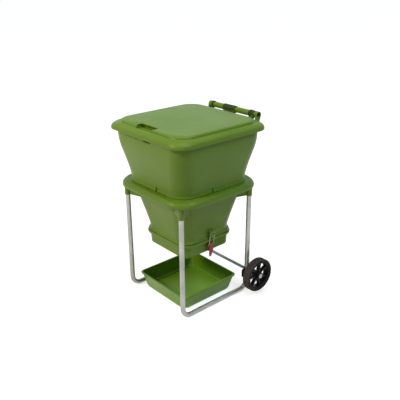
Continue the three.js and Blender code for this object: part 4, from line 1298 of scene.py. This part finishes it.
# Name, place, size, power and tint.
LAMPS = [
    ("key", (-0.9, -3.4, 3.1), 1.2, 120, (1, 0.88, 0.72)),
    ("top", (0.3, 0.2, 4.6), 2.4, 56, (1, 0.86, 0.78)),
    ("fill", (2.6, 0.3, 4.1), 2.4, 78, (0.74, 0.88, 1)),
]
SENSOR_WIDTH = 36


def by_ray(tree, plain, seen, shine):
    """A level that differs for what the camera sees and for what shows in reflections."""
    path = tree.nodes.new("ShaderNodeLightPath")
    level = plain
    for name, own in (("Is Camera Ray", seen), ("Is Glossy Ray", shine)):
        level = scaled_sum(tree, path.outputs[name], own - plain, level)
    return level


def pale_floor(near, far, shine):
    """A white floor with a faint shadow round the object, which glows to plain white far off."""
    recipe = Recipe(
        "pale_floor", Base_Color=(0.8, 0.8, 0.8, 1), Roughness=1, Specular_IOR_Level=0,
        Emission_Color=(1, 1, 1, 1))
    reach = recipe.node("ShaderNodeVectorMath", Vector=recipe.place)
    reach.operation = "LENGTH"
    glow = recipe.ranged(reach.outputs["Value"], *FADE, near, far)
    shown = by_ray(recipe.tree, 0, 1, shine)
    strength = recipe.maths("ShaderNodeMath", "MULTIPLY", glow, shown)
    recipe.feed(strength.outputs[0], recipe.shader.inputs["Emission Strength"])
    return recipe.material


def sky(open_light, shine, tint):
    """White where the camera sees it, and softer and tinted where it lights or is mirrored."""
    world = bpy.data.worlds.new("sky")
    bpy.context.scene.world = world
    world.use_nodes = True
    tree = world.node_tree
    backdrop = tree.nodes["Background"].inputs
    shade = colour_mix(tree, by_ray(tree, 0, 1, 0), (*tint, 1), (1, 1, 1, 1))
    feed(tree, shade, backdrop["Color"])
    feed(tree, by_ray(tree, open_light, 1, shine), backdrop["Strength"])


def area_light(name, place, size, power, tint):
    light = bpy.data.lights.new(name, "AREA")
    light.shape = "DISK"
    light.size = size
    light.energy = power
    light.color = tint
    made = bpy.data.objects.new(name, light)
    bpy.context.collection.objects.link(made)
    made.location = place
    aim = Vector(LAMP_TARGET) - Vector(place)
    made.rotation_euler = aim.to_track_quat("-Z", "Y").to_euler()


def camera(azimuth, elevation, roll, place, focal):
    """The photograph's camera, from its turn round the object, its height angle and roll."""
    turn, rise, lean = (radians(angle) for angle in (azimuth, elevation, roll))
    back = Vector((sin(turn) * cos(rise), -cos(turn) * cos(rise), sin(rise)))
    right = Vector((cos(turn), sin(turn), 0))
    up = back.cross(right)
    across = right * cos(lean) + up * sin(lean)
    above = up * cos(lean) - right * sin(lean)
    lens = bpy.data.cameras.new("camera")
    lens.sensor_width = SENSOR_WIDTH
    lens.lens = focal
    made = bpy.data.objects.new("camera", lens)
    bpy.context.collection.objects.link(made)
    turned_to = Matrix((across, above, back)).transposed().to_4x4()
    made.matrix_world = Matrix.Translation(place) @ turned_to
    bpy.context.scene.camera = made


bpy.ops.mesh.primitive_plane_add(size=FLOOR_SIZE)
floor = bpy.context.object
floor.name = "floor"
floor.data.materials.append(pale_floor(0.68, 0.95, 1.0))
sky(0.06, 0.9, (0.85, 1, 1))
for lamp in LAMPS:
    area_light(*lamp)
camera(48.73, 22.80, -0.30, (2.0045, -1.6795 + BIN_Y, 1.6147), 49.798)

bpy.context.scene.view_settings.view_transform = "Standard"
